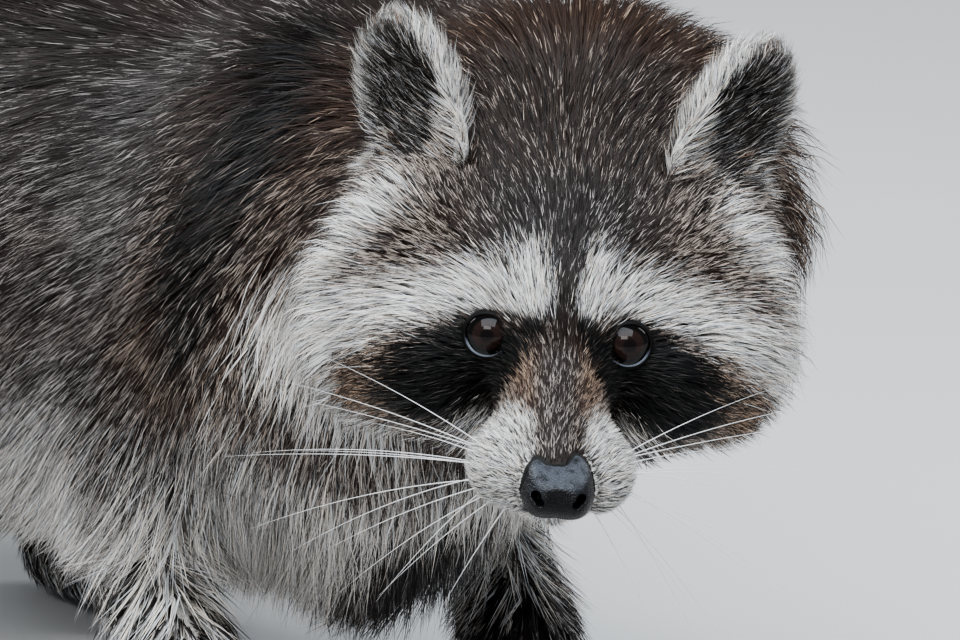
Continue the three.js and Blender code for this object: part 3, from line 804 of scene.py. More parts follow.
def limb_marks(body, s):
    """Rings and black tip of the tail, dark lower legs, light feet."""
    pale, black, warm, tips = body
    along = s[:, 1] * RINGS["way"][0] + s[:, 2] * RINGS["way"][1]
    turns = (along - RINGS["first"]) * (2 * math.pi / RINGS["spacing"])
    ring = 0.5 - 0.5 * np.tanh(RINGS["sharpness"] * np.sin(turns))
    ring = np.where(along > RINGS["tip"], 1, ring)
    on_tail = ease(352, 366, s[:, 1])
    black = np.maximum(black * (1 - on_tail), 0.95 * on_tail * ring)
    pale = pale * (1 - on_tail) + 0.4 * on_tail * (1 - ring)

    leg = ease(98, 64, s[:, 2]) * (1 - on_tail)
    foot = ease(36, 18, s[:, 2]) * (1 - on_tail)
    black = np.maximum(black, 0.42 * leg * (1 - foot))
    pale = np.maximum(pale * (1 - leg), 0.42 * foot)
    return pale, black, warm, tips * (1 - leg) + 0.3 * leg


def ear_marks(rest, ear):
    """White rim of the ear, its grey hollow and its brown back."""
    pale, black, warm, tips = rest
    x = (ear[:, 0] + 0.8 + 3 * ease(-4, 8, ear[:, 0])) / EAR_HALF[0]
    z = (ear[:, 2] - EAR["height"] / 2 + 4) / EAR_HALF[2]
    out = np.sqrt(x * x + z * z)
    on_ear = ease(2, 9, ear[:, 2]) * ease(2.6, 1.4, ear_leaf(ear))
    inner = ease(3, -10, ear[:, 0])
    hollow = 1 - ease(0.4, 1.6, ear_hollow(ear))
    rim = ease(0.78, 0.95, out + 0.1 * inner) * (1 - 0.2 * hollow)
    rim = rim * (1 - 0.45 * inner * ease(30, 12, ear[:, 2]))
    pale = pale * (1 - on_ear) + on_ear * np.maximum(rim, 0.22 * hollow)
    warm = warm * (1 - on_ear) + on_ear * (0.9 - 0.85 * hollow)
    tips = tips * (1 - on_ear) + on_ear * (0.5 - 0.4 * hollow)
    return pale, black * (1 - on_ear), warm, tips


def markings(p, roots=None):
    """Shares of pale, black and warm fur, and how far the tips are light, at each point."""
    local = in_frames(p)
    ear = leaned(local["ear"] if roots is None else in_frames(roots)["ear"])
    q, s = local["head"], local["stance"]
    marks = ear_marks(limb_marks(body_marks(face_marks(q), q, s), s), ear)
    return np.column_stack(marks).clip(0, 1)


# ---- Growing the coat ----
# The stations of a hair: how far along it they are, and how wide it is there
STATIONS = ((0, 0.75), (1 / 3, 1), (2 / 3, 0.72), (1, 0))
SHORT_COAT = 3.2  # the depth of coat, in millimetres, under which a hair is too short to bend twice
HAIR_UNIT = 50  # millimetres of hair for each 1 that the material reads as its length
TRUNK_AXIS = 190  # height of the middle of the trunk, which the coat is unwrapped round


def height_of(t):
    """How far up through the coat a hair has come, along its length."""
    return 1 - (1 - t) ** 1.7


def pick_roots(skin_mesh):
    """The roots of the tufts, spread over the skin as close as the coat asks, and its slope there."""
    skin_mesh.calc_loop_triangles()
    triangles = np.empty(len(skin_mesh.loop_triangles) * 3, dtype=np.int32)
    skin_mesh.loop_triangles.foreach_get("vertices", triangles)
    corners = points_of(skin_mesh)[triangles.reshape(-1, 3)]
    cross = np.cross(corners[:, 1] - corners[:, 0], corners[:, 2] - corners[:, 0])
    area = np.linalg.norm(cross, axis=1) / 2
    middle = corners.mean(axis=1)
    density = coat_setting(DENSITY, coat_weights(middle)) / 100 * bare_places(middle, unit(cross))
    reached = np.cumsum(area * density)
    count = int(reached[-1])
    at = (np.arange(count) + rng.random(count)) * (reached[-1] / count)
    chosen = np.minimum(np.searchsorted(reached, at), len(area) - 1)
    a, b = rng.random((2, count, 1))
    flip = a + b > 1
    a, b = np.where(flip, 1 - a, a), np.where(flip, 1 - b, b)
    roots = corners[chosen, 0] * (1 - a - b) + corners[chosen, 1] * a + corners[chosen, 2] * b
    return roots.astype(np.float32), unit(cross[chosen])


def bare_places(p, normal):
    """Nothing where no hair grows, at the eyes, nose, lips and soles, and one elsewhere."""
    q = head.inside(p)
    m = folded(q)
    eye = ease(-0.2, 0.2, eye_hole(back=-6, depth=9)(m))
    nose = ease(0, 0.3, nose_field(q) - 0.1)
    mouth = ease(0, 0.8, mouth_line(1.5, 1.4, 1.2)(m))
    sole = np.where((p[:, 2] < 7) & (normal[:, 2] < -0.3), 0, 1)
    return eye * nose * mouth * sole


def outer_fields(roots):
    """The outside of the coat as fields, with ears and toes, and the roots that each one guides."""
    q = head.inside(roots)
    near_ears = (q[:, 1] > 20) & (q[:, 1] < 90) & (q[:, 2] > 12)
    fields = [(joined(4, coat_mass, ear_shell(1, 1.8), ear_shell(-1, 1.8)), near_ears)]
    left_over = ~near_ears
    for leg in LEGS.values():
        x, y, _ = leg["paw"]["at"]
        mine = (roots[:, 2] < 36) & (np.abs(roots[:, 0] - x) < 40)
        mine &= (roots[:, 1] > y - 50) & (roots[:, 1] < y + 80)
        fields.append((joined(3, coat_mass, toe_mass(leg)), mine))
        left_over &= ~mine
    fields.append((coat_mass, left_over))
    return fields


def tuft_guides(roots, normals, weights):
    """Each tuft's middle line: four points from its root to its tip, and the coat's slope at each."""
    depth = coat_setting(DEPTH, weights)
    stand = coat_setting(STAND, weights) * rng.uniform(0.6, 1.25, len(roots))
    length = coat_setting(LENGTH, weights) * rng.uniform(0.75, 1.15, len(roots))
    lie = coat_lie(roots, weights)
    wave = np.sin(roots @ (0.11, 0.07, 0.05)) + np.sin(roots @ (-0.05, 0.09, 0.12) + 1.3)
    angle = np.radians(rng.normal(0, 9, len(roots)) + 5 * wave)
    fields = outer_fields(roots)
    p, n = roots.copy(), normals
    guide, slopes = [p], [n]
    for k in (1, 2, 3):
        way = unit(lie - np.sum(lie * n, axis=1)[:, None] * n)
        way = way * np.cos(angle)[:, None] + np.cross(n, way) * np.sin(angle)[:, None]
        p = (p + way * (length / 3 * np.sqrt(1 - np.minimum(stand, 0.95) ** 2))[:, None]).astype(np.float32)
        level = -depth * (1 - height_of(k / 3)) + stand * length * k / 3
        n = n.copy()
        for field, mine in fields:
            if not mine.any():
                continue
            here, slope = slope_of(field, p[mine], 0.8)
            square = np.maximum(np.sum(slope**2, axis=1), 0.2)
            move = (level[mine] - here) / square
            move = np.clip(move, -0.5 * length[mine], 0.5 * length[mine])
            p[mine] = p[mine] + move[:, None] * slope
            n[mine] = unit(slope)
        guide.append(p)
        slopes.append(n)
    return np.stack(guide), np.stack(slopes), length, depth


def grow_blades(guide, slopes, length, depth, weights, straight):
    """Flat tapered hairs round the guides, each with the number of its tuft."""
    density = coat_setting(DENSITY, weights) / 100
    width = coat_setting(WIDTH, weights)
    hairs = np.round(coat_setting(HAIRS, weights)).astype(int)
    which = np.repeat(np.arange(len(hairs)), hairs)
    count = len(which)
    number = np.concatenate([np.arange(h) for h in hairs]) / np.maximum(hairs[which], 1)
    n0 = slopes[0][which]
    along = unit(guide[1][which] - guide[0][which])
    across = unit(np.cross(along, n0))
    forward = np.cross(n0, across)
    spread = 0.62 / np.sqrt(density[which])
    angle, away = rng.uniform(0, 2 * math.pi, count), np.sqrt(rng.random(count))
    offset = (across * np.cos(angle)[:, None] + forward * np.sin(angle)[:, None]) * (spread * away)[:, None]
    gather = rng.uniform(0.25, 0.7, count)  # how far a hair closes on its tuft towards the tip
    share = rng.uniform(0.72, 1.12, count)  # its length as a share of the tuft's
    stray = (rng.random(count) < 0.03) * rng.random(count)  # a few stand off from the coat
    bend = rng.normal(0, 0.05, count) * length[which]
    rise = rng.normal(-0.04, 0.07, count) * depth[which] + stray * 0.1 * length[which]
    twist = np.radians(rng.uniform(-50, 50, count))
    sink = np.minimum(0.25 * depth[which], 0.5) + 0.1  # how far its root is under the skin

    short = (depth[which] < SHORT_COAT) | straight[which]
    points, normals, along_hair, side_of_hair = [], [], [], []
    for k, (t, wide) in enumerate(STATIONS):
        n = slopes[k][which]
        centre = guide[0][which] + (guide[k][which] - guide[0][which]) * share[:, None]
        centre = centre + offset * (1 - gather * t)[:, None]
        centre = centre + across * (bend * t * t)[:, None] + n * (rise * t - sink * (k == 0))[:, None]
        ahead = guide[min(k + 1, 3)][which] - guide[max(k - 1, 0)][which]
        flat = unit(np.cross(ahead, n))
        flat = flat * np.cos(twist)[:, None] + n * np.sin(twist)[:, None]
        half = 0.5 * width[which] * wide
        face = np.cross(flat, unit(ahead))
        shade = unit(0.5 * n + 0.5 * face)
        for side in ((-1, 1) if k < 3 else (0,)):
            corner = centre + flat * (side * half)[:, None]
            corner[:, 2] = np.maximum(corner[:, 2], 0.3)  # no hair reaches into the floor
            points.append(corner)
            normals.append(shade)
            along_hair.append(np.full(count, t))
            side_of_hair.append(np.full(count, side))
    stacks = dict(points=points, normals=normals, t=along_hair, side=side_of_hair)
    stacks = {name: np.stack(values, axis=1) for name, values in stacks.items()}
    return dict(which=which, number=number, short=short, **stacks)


def chart(piece, p):
    """The place of each point on an unwrap of the skin round the axis of its region."""
    local = in_frames(p)
    if piece == "ears":
        q = local["ear"]
        on_left = local["head"][:, 0] > 0
        u = np.clip(q[:, 0] / 60 + 0.5, 0, 1) + (q[:, 1] > 0) + 2 * on_left
        return np.column_stack((u, q[:, 2]))
    if piece in ("muzzle", "forehead", "temple", "cheek", "nape", "neck"):
        q = local["head"]
        return np.column_stack((np.arctan2(q[:, 0], q[:, 2] + 12), q[:, 1]))
    if piece.endswith("legs"):
        s = local["stance"]
        x, y = np.abs(s[:, 0]) - 68, s[:, 1]
        middle = -10 if piece == "fore_legs" else 300
        turn_by = np.arctan2(x, y - middle) + 7 * (s[:, 0] > 0)
        return np.column_stack((turn_by, s[:, 2] - 0.3 * np.abs(y - middle)))
    s = local["stance"]
    back = [at[1] for at, _ in TAIL]
    middle = np.interp(s[:, 1], back, [at[0] for at, _ in TAIL])
    height = np.interp(s[:, 1], back, [TRUNK_AXIS, *(at[2] for at, _ in TAIL[1:])])
    round_by = np.arctan2(s[:, 0] - middle, s[:, 2] - height)
    return np.column_stack((round_by, s[:, 1] + 0.3 * (s[:, 1] < 0) * (TRUNK_AXIS - s[:, 2])))


def coat_mesh(name, blades, mine, marks, uv, randoms):
    """One mesh of hairs from the chosen blades; short hairs leave out their third station."""
    base = 0
    verts, norms, ts, sides, owners = [], [], [], [], []
    quads, tris = [], []
    for short, keep in ((True, [0, 1, 2, 3, 6]), (False, [0, 1, 2, 3, 4, 5, 6])):
        rows = np.nonzero(mine & (blades["short"] == short))[0]
        if not len(rows):
            continue
        size = len(keep)
        first = base + np.arange(len(rows))[:, None] * size
        verts.append(blades["points"][rows][:, keep].reshape(-1, 3))
        norms.append(blades["normals"][rows][:, keep].reshape(-1, 3))
        ts.append(blades["t"][rows][:, keep].ravel())
        sides.append(blades["side"][rows][:, keep].ravel())
        owners.append(np.repeat(rows, size))
        quads.append(first + np.array((0, 1, 3, 2)))
        if not short:
            quads.append(first + np.array((2, 3, 5, 4)))
        tris.append(first + np.array((size - 3, size - 2, size - 1)))
        base += len(rows) * size
    verts, norms = np.vstack(verts), np.vstack(norms)
    t, side, owner = np.concatenate(ts), np.concatenate(sides), np.concatenate(owners)
    mesh = mesh_from(name, to_world(verts), [np.vstack(quads), np.vstack(tris)])
    tuft = blades["which"][owner]
    store(mesh, "markings", marks[owner])
    store(mesh, "strand", t, randoms["tuft"][tuft], randoms["hair"][owner], randoms["length"][tuft])
    low, high = uv.min(axis=0), uv.max(axis=0)
    place = 0.01 + 0.98 * (uv - low) / np.maximum(high - low, 1e-6)
    place = place[tuft] + 0.003 * np.column_stack((blades["number"][owner] - 0.5 + 0.1 * side, t - 0.5))
    corner = np.empty(len(mesh.loops), dtype=np.int32)
    mesh.loops.foreach_get("vertex_index", corner)
    layer = mesh.uv_layers.new(name="OFBake")
    layer.data.foreach_set("uv", place[corner].astype(np.float32).ravel())
    mesh.normals_split_custom_set_from_vertices(norms.astype(np.float32))
    return mesh


def grow_coat(skin_mesh):
    """The whole coat, in pieces named for their place and split left to right where they are big."""
    roots, normals = pick_roots(skin_mesh)
    weights = coat_weights(roots)
    names = sorted({row[PIECE] for row in COAT})
    shares = np.array([weights[[row[PIECE] == name for row in COAT]].sum(axis=0) for name in names])
    piece_of = shares.argmax(axis=0)
    straight = np.isin(piece_of, [names.index(name) for name in STRAIGHT])

    guide, slopes, length, depth = tuft_guides(roots, normals, weights)
    blades = grow_blades(guide, slopes, length, depth, weights, straight)
    which = blades["which"]
    scatter = np.minimum(depth[which] * 0.25 + 0.5, 3)[:, None]
    seen_at = guide[2][which] + rng.normal(0, 1, (len(which), 3)) * scatter
    marks = markings(seen_at.astype(np.float32), roots[which])
    randoms = dict(tuft=rng.random(len(roots)), hair=rng.random(len(which)), length=length / HAIR_UNIT)

    pieces = []
    triangles = np.where(blades["short"], 3, 5)
    for number, name in enumerate(names):
        own = piece_of == number
        parts = max(1, math.ceil(triangles[own[which]].sum() / COAT_TRIANGLES))
        part_of = np.full(len(roots), -1)
        part_of[own] = np.argsort(np.argsort(roots[own][:, 0])) * parts // own.sum()
        uv = chart(name, roots)
        for part in range(parts):
            mine = part_of == part
            label = "coat_" + name + ("_%d" % (part + 1) if parts > 1 else "")
            own_uv = np.where(mine[:, None], uv, uv[mine].mean(axis=0))
            mesh = coat_mesh(label, blades, mine[which], marks, own_uv, randoms)
            pieces.append(show(label, mesh))
    return pieces


# ---- Shader maths ----
class Nodes:
    """A material's node tree, with one method for any node."""

    def __init__(self, name):
        self.material = bpy.data.materials.new(name)
        self.material.use_nodes = True
        self.tree = self.material.node_tree
        self.tree.nodes.clear()

    def node(self, kind, settings=None, **inputs):
        node = self.tree.nodes.new("ShaderNode" + kind)
        for key, value in (settings or {}).items():
            setattr(node, key, value)
        for key, value in inputs.items():
            self.feed(node.inputs[key.replace("_", " ")], value)
        return node

    def feed(self, socket, value):
        if isinstance(value, Value):
            self.tree.links.new(value.socket, socket)
        elif isinstance(value, tuple) and socket.type == "RGBA" and len(value) == 3:
            socket.default_value = (*value, 1)
        else:
            socket.default_value = value

    def maths(self, operation, *values):
        node = self.tree.nodes.new("ShaderNodeMath")
        node.operation = operation
        for socket, value in zip(node.inputs, values):
            self.feed(socket, value)
        return Value(self, node.outputs[0])

    def mix(self, factor, a, b, how="MIX"):
        node = self.tree.nodes.new("ShaderNodeMix")
        node.data_type = "RGBA"
        node.blend_type = how
        self.feed(node.inputs[0], factor)
        self.feed(node.inputs[6], a)
        self.feed(node.inputs[7], b)
        return Value(self, node.outputs[2])

    def step(self, low, high, value):
        node = self.node("MapRange", {"interpolation_type": "SMOOTHSTEP"}, Value=value)
        self.feed(node.inputs[1], low)
        self.feed(node.inputs[2], high)
        return Value(self, node.outputs[0])

    def attribute(self, name):
        node = self.node("Attribute", {"attribute_name": name})
        parts = self.node("SeparateColor", Color=Value(self, node.outputs["Color"]))
        return [Value(self, parts.outputs[n]) for n in range(3)] + [Value(self, node.outputs["Alpha"])]

    def place(self):
        return Value(self, self.node("TexCoord").outputs["Object"])

    def noise(self, place, scale, detail=2.0, roughness=0.5):
        node = self.node("TexNoise", Vector=place, Scale=scale, Detail=detail, Roughness=roughness)
        return Value(self, node.outputs[0])

    def bump(self, height, strength, distance):
        node = self.node("Bump", Height=height, Strength=strength, Distance=distance)
        return Value(self, node.outputs[0])

    def finish(self, **inputs):
        shader = self.node("BsdfPrincipled", **inputs)
        output = self.node("OutputMaterial")
        self.tree.links.new(shader.outputs[0], output.inputs[0])
        return self.material


class Value:
    """A socket that takes part in sums."""

    def __init__(self, nodes, socket):
        self.nodes, self.socket = nodes, socket

    def __add__(self, other):
        return self.nodes.maths("ADD", self, other)

    def __sub__(self, other):
        return self.nodes.maths("SUBTRACT", self, other)

    def __rsub__(self, other):
        return self.nodes.maths("SUBTRACT", other, self)

    def __mul__(self, other):
        return self.nodes.maths("MULTIPLY", self, other)

    def __truediv__(self, other):
        return self.nodes.maths("DIVIDE", self, other)

    def __mod__(self, other):
        return self.nodes.maths("FLOORED_MODULO", self, other)

    def __rtruediv__(self, other):
        return self.nodes.maths("DIVIDE", other, self)

    __radd__ = __add__
    __rmul__ = __mul__


# Colours of the fur
WHITE = (0.92, 0.93, 0.94)
CREAM = (0.68, 0.61, 0.52)
# dark roots of pale hair: their own brown, darkened as painted shade deep in the coat
PALE_ROOT_SHADE = (0.045, 0.038, 0.032)
SOFT_WHITE = (0.74, 0.725, 0.70)
SOFT_CREAM = (0.52, 0.46, 0.40)
SOFT_ROOT_SHADE = (0.17, 0.146, 0.124)
BLACK = (0.004, 0.004, 0.004)
BLACK_TIP = (0.100, 0.088, 0.080)
DARK = (0.018, 0.0145, 0.0132)
DARK_WARM = (0.040, 0.019, 0.0105)
LIGHT = (0.52, 0.50, 0.485)
LIGHT_WARM = (0.42, 0.29, 0.20)
STRAY_DARK = (0.032, 0.024, 0.020)

# Colours of the bare parts, the whiskers and the floor
JET = (0.002, 0.002, 0.002)
# the nose's own black, and the painted sheen of sky light on its upward faces
NOSE_BLACK, NOSE_PAINTED_SHEEN = (0.006, 0.006, 0.007), (0.058, 0.064, 0.076)
IRIS_DARK, IRIS_BROWN = (0.012, 0.007, 0.006), (0.025, 0.014, 0.011)
PUPIL = (0.006, 0.004, 0.004)
# the eye's black rim, and a painted highlight where the moist lower rim reflects light
EYE_RIM, EYE_LOW_GLINT = (0.003, 0.002, 0.002), (0.30, 0.33, 0.38)
# the lid's black skin, and a painted highlight along its moist lower rim
LID_BLACK, LID_GLINT = (0.007, 0.006, 0.006), (0.22, 0.25, 0.30)
HORN_DARK, HORN_LIGHT = (0.012, 0.010, 0.009), (0.06, 0.048, 0.038)
WHISKER_GREY, WHISKER_WHITE = (0.62, 0.62, 0.62), (0.8, 0.79, 0.77)
FLOOR_GREY, FLOOR_PALE = (0.50, 0.50, 0.50), (0.56, 0.56, 0.555)


def fur_colour(n, t, tuft, hair, length):
    """The colour of a hair, from its markings and the place t along it.

    Tuft and hair are random numbers of the tuft and of the hair, and length is in hair units.
    """
    pale, black, warm, tips = n.attribute("markings")
    own, other = (hair * 7.31) % 1, (hair * 17.77) % 1
    together = 0.5 * ((tuft * 5.3) % 1) + 0.5 * other

    # grizzled hair: dark, with a light band near the tips of some
    away = n.maths("ABSOLUTE", t - 0.2 * own - 0.13 * tuft - 0.55) / (0.045 + 0.024 / length)
    band = n.step(1.0, 0.5, away) * n.step(0.0, 0.15, tips * 1.7 - together)
    band = band * (1 - 0.45 * n.step(0.35, 0.6, length))
    grizzled = n.mix(band, n.mix(warm, DARK, DARK_WARM), n.mix(warm, LIGHT, LIGHT_WARM))

    # pale hair: brown at its root and darkened there as painted shade deep in the coat, with a few dark ones
    # among it
    grown = t * (0.9 + 1.4 * length)
    long = n.step(0.58, 0.86, length)
    root, top = n.mix(long, PALE_ROOT_SHADE, SOFT_ROOT_SHADE), n.mix(n.step(0.2, 1.0, own), WHITE, CREAM)
    top = n.mix(long, top, n.mix(own, SOFT_WHITE, SOFT_CREAM))
    white = n.mix(n.step(0.08, 0.75, grown + 0.25 * tuft), root, top)
    white = n.mix(0.9 * n.step(0.76, 0.82, other + 0.08 - 0.28 * length), white, STRAY_DARK)

    dark = n.mix(n.step(0.4, 0.9, t) * n.step(0.8, 0.95, own), BLACK, BLACK_TIP)
    fur = n.mix(n.step(0.38, 0.62, pale + 0.75 * (hair - 0.5)), grizzled, white)
    fur = n.mix(n.step(0.38, 0.62, black + 0.6 * (other - 0.5)), fur, dark)
    # painted shade deep in the coat: every hair darker towards its root; the second factor is random tone of
    # each hair and tuft
    shade = (0.15 + 0.85 * n.step(0.0, 0.6, grown)) * (0.5 + 0.14 * length + 0.65 * own + 0.4 * (tuft - 0.5))
    grey = n.node("CombineColor", Red=shade, Green=shade, Blue=shade)
    return n.mix(1.0, fur, Value(n, grey.outputs[0]), "MULTIPLY")


def coat_material():
    n = Nodes("fur")
    colour = fur_colour(n, *n.attribute("strand"))
    return n.finish(Base_Color=colour, Roughness=0.5, Specular_IOR_Level=0.22)


def skin_material():
    n = Nodes("skin_under_fur")
    place = n.place()
    patch = n.noise(place, 900, 2)
    # the skin takes the colour of hair near its root, with the same painted shade of the deep coat
    colour = fur_colour(n, 0.35 * patch + 0.25, patch, n.noise(place, 1500, 1), length=0.3)
    return n.finish(Base_Color=colour, Roughness=0.8, Normal=n.bump(patch, 0.5, 0.0006))


# ---- Nose ----
def build_nose():
    """The nose, with a number for how far it faces up above the nostrils, which places its painted sheen."""
    points, quads = surface_net(nose_field, (-12, -63, -38), (15, -40, -13), GRID["nose"])
    mesh = mesh_from("nose", to_world(head.outside(points)), [quads])
    _, slope = slope_of(nose_field, points)
    store(mesh, "facing_up", ease(0.3, 0.95, unit(slope)[:, 2]) * ease(-28, -25.5, points[:, 2]))
    return show("nose", mesh)


def nose_material():
    n = Nodes("wet_nose")
    place = n.place()
    cells = n.node("TexVoronoi", {"feature": "SMOOTH_F1"}, Vector=place, Scale=2100.0, Smoothness=0.3)
    pebble = Value(n, cells.outputs["Distance"])
    painted_sheen = Value(n, n.node("Attribute", {"attribute_name": "facing_up"}).outputs["Fac"])
    colour = n.mix(n.noise(place, 260, 3), JET, NOSE_BLACK)
    # painted sheen: the faces that look up are lighter and bluer, as if they reflected the sky light
    colour = n.mix(painted_sheen * n.step(0.3, 0.75, n.noise(place, 420, 3) + 0.15), colour, NOSE_PAINTED_SHEEN)
    return n.finish(
        Base_Color=colour, Roughness=0.12 + 0.24 * pebble, Specular_IOR_Level=0.22,
        Normal=n.bump(pebble, 0.55, 0.00035),
    )


# ---- Eyes ----
def eye_axes(side, along):
    """The eye's own axes: the third looks out, the second is up."""
    gaze = unit(np.array((EYE[along][0] * side, EYE[along][1], EYE[along][2])))
    right = unit(np.cross(gaze, (0, 0, 1)))
    return np.column_stack((-right, np.cross(right, gaze), gaze))


def eye_centre(side):
    return np.array((side * EYE["at"][0], EYE["at"][1], EYE["at"][2]))


def build_eye(side):
    """An eyeball with a low bulge of cornea over the iris."""
    rings, sides, bulge, bulge_angle = 48, 64, 0.035, 0.55
    axes, centre = eye_axes(side, "gaze"), eye_centre(side)
    points = [centre + axes @ (0, 0, EYE["radius"] * (1 + bulge))]
    for k in range(1, rings):
        polar = math.pi * k / rings
        r = EYE["radius"] * (1 + bulge * math.exp(-((polar / bulge_angle) ** 4)))
        for n in range(sides):
            angle = 2 * math.pi * n / sides
            out = (math.sin(polar) * math.cos(angle), math.sin(polar) * math.sin(angle), math.cos(polar))
            points.append(centre + axes @ (np.array(out) * r))
    points.append(centre - axes @ (0, 0, EYE["radius"]))
    points = np.array(points)

    ring = np.arange(sides)
    after = (ring + 1) % sides
    last = 1 + (rings - 2) * sides
    caps = [
        np.column_stack((0 * ring, 1 + ring, 1 + after)),
        np.column_stack((0 * ring + len(points) - 1, last + after, last + ring)),
    ]
    quads = []
    for k in range(rings - 2):
        a, b = 1 + k * sides, 1 + (k + 1) * sides
        quads.append(np.column_stack((a + ring, b + ring, b + after, a + after)))
    name = "eyeball_" + ("left" if side > 0 else "right")
    mesh = mesh_from(name, to_world(head.outside(points)), [np.vstack(caps), np.vstack(quads)])

    out = unit(points - centre)
    polar = np.arccos(np.clip(out @ axes[:, 2], -1, 1))
    round_by = np.arctan2(out @ axes[:, 1], out @ axes[:, 0])
    across, up = 0.5 + 0.5 * np.cos(round_by), 0.5 + 0.5 * np.sin(round_by)
    store(mesh, "iris", polar, across, up, np.ones(len(polar)))
    return show(name, mesh)


def eye_material():
    """Dark brown iris with fine rays, black pupil and rim, and a painted highlight along the lower rim.

    Polar is the angle from the middle of the pupil, in radians.
    """
    n = Nodes("eye")
    polar, across, up, _ = n.attribute("iris")
    round_iris = n.node("CombineXYZ", X=across * 9, Y=up * 9, Z=polar * 1.5)
    rays = n.noise(Value(n, round_iris.outputs[0]), 3.0, 4)
    iris = n.mix(n.step(0.3, 0.75, rays), IRIS_DARK, IRIS_BROWN)
    iris = n.mix(n.step(0.52, 0.66, polar), iris, JET)
    inside = n.mix(n.step(0.18, 0.32, polar), PUPIL, iris)
    # painted highlight: a pale bluish line at the lower rim, standing in for its reflection
    below = n.step(0.40, 0.15, up) * n.step(0.84, 0.9, polar)
    white = n.mix(below, EYE_RIM, EYE_LOW_GLINT)
    colour = n.mix(n.step(0.66, 0.72, polar), inside, white)
    return n.finish(Base_Color=colour, Roughness=0.04, Specular_IOR_Level=0.2)


LID_SIDES = 72
# Round the rim of a lid: degrees past the opening, how far it stands off the eyeball, how wet it is, which
# also sets its painted highlight
LID_RIM = (
    (0, 0.05, 1), (0.6, 0.3, 0.5), (2, 0.45, 0), (5, 0.65, 0), (9, 0.8, 0),
    (14, 0.6, 0), (24, -0.4, 0), (30, -1.4, 0), (14, -1.4, 0.5),
)


def build_lids(side):
    """The rims of both lids as one soft ring that hugs the eyeball, drawn out at its inner corner."""
    axes, centre, radius = eye_axes(side, "socket"), eye_centre(side), EYE["radius"]
    corner = math.radians(205 if side > 0 else 335)
    angles = np.arange(LID_SIDES) * 2 * math.pi / LID_SIDES
    points = []
    for angle in angles:
        away = abs((angle - corner + math.pi) % (2 * math.pi) - math.pi)
        opening = EYE["opening"] + 8 * math.exp(-((away / 0.35) ** 2)) + 1.5 * math.cos(angle) ** 2
        for more, off, _ in LID_RIM:
            polar = math.radians(opening + more)
            r, up = (radius + off) * math.sin(polar), (radius + off) * math.cos(polar)
            points.append(centre + axes @ (r * math.cos(angle), r * math.sin(angle), up))
    count = len(LID_RIM)
    here = np.arange(LID_SIDES)[:, None] * count + np.arange(count)[None, :]
    there = np.roll(here, -1, axis=0)
    quads = np.stack((here, there, np.roll(there, -1, axis=1), np.roll(here, -1, axis=1)), axis=-1)
    name = "eyelids_" + ("left" if side > 0 else "right")
    mesh = mesh_from(name, to_world(head.outside(np.array(points))), [quads.reshape(-1, 4)])
    wet_glint = np.tile([share for _, _, share in LID_RIM], LID_SIDES)
    low = 0.5 - 0.5 * np.sin(np.repeat(angles, count))
    store(mesh, "rim", wet_glint, low, 0 * wet_glint, 0 * wet_glint + 1)
    lids = show(name, mesh)
    smooth = lids.modifiers.new("smooth", "SUBSURF")
    smooth.levels = smooth.render_levels = 1
    made_plain(lids)
    return lids


def lid_material():
    n = Nodes("wet_eyelid")
    edge, low, _, _ = n.attribute("rim")
    grain = n.noise(n.place(), 1400, 3)
    # painted highlight: the lower rim is pale and bluish, as if it reflected the sky light
    wet_glint = n.step(0.35, 0.9, edge) * n.step(0.45, 0.9, low)
    colour = n.mix(wet_glint, n.mix(grain, JET, LID_BLACK), LID_GLINT)
    return n.finish(
        Base_Color=colour, Roughness=0.55 - 0.35 * edge, Specular_IOR_Level=0.12,
        Normal=n.bump(grain, 0.3, 0.0002),
    )


# ---- Claws ----
def build_claw(label, place, reach):
    """A curved, tapered claw with a rounded back, from a toe's tip down to the floor."""
    points, sides, rings = [], 12, 9
    for k in range(rings):
        t = k / (rings - 1)
        height = CLAW["height"] + CLAW["rise"] * t - CLAW["droop"] * t * t
        middle = np.array((0, -reach - t * CLAW["length"], height))
        r = CLAW["radius"] * (1 - 0.92 * t**1.4)
        for n in range(sides):
            angle = 2 * math.pi * n / sides
            across, up = r * math.cos(angle), r * math.sin(angle)
            points.append(middle + np.array((0.78 * across, 0.3 * up * t, up)))
    points = place.outside(np.array(points))
    points[:, 2] = np.maximum(points[:, 2], 0.15)
    here = np.arange(sides * (rings - 1))
    after = here - here % sides + (here + 1) % sides
    quads = np.column_stack((here, after, after + sides, here + sides))
    mesh = mesh_from(label, to_world(points), [quads])
    edit = bmesh.new()
    edit.from_mesh(mesh)
    bmesh.ops.holes_fill(edit, edges=[e for e in edit.edges if e.is_boundary], sides=sides)
    bmesh.ops.recalc_face_normals(edit, faces=edit.faces)
    edit.to_mesh(mesh)
    edit.free()
    mesh.shade_smooth()
    return show(label, mesh)


def build_claws():
    """A claw for each toe, each with the name of the node that it replaces."""
    made = []
    for name, leg in LEGS.items():
        for index, (angle, length, _) in enumerate(leg["toes"]):
            place = leg["place"].holding(turn("z", angle * leg["side"]), (0, 0, 0))
            reach = leg["paw"]["root"] + length - CLAW["sunk"]
            label = "%s_%d" % (name, index + 1)
            made.append((build_claw("claw_piece_" + label, place, reach), "claw_" + label))
    return made


def claw_material():
    n = Nodes("claw_horn")
    place = n.place()
    streak = n.noise(place, 900, 4, 0.6)
    colour = n.mix(streak, HORN_DARK, HORN_LIGHT)
    return n.finish(
        Base_Color=colour, Roughness=0.28 + 0.2 * streak, Coat_Weight=0.3, Coat_Roughness=0.2,
        Normal=n.bump(streak, 0.2, 0.0002),
    )


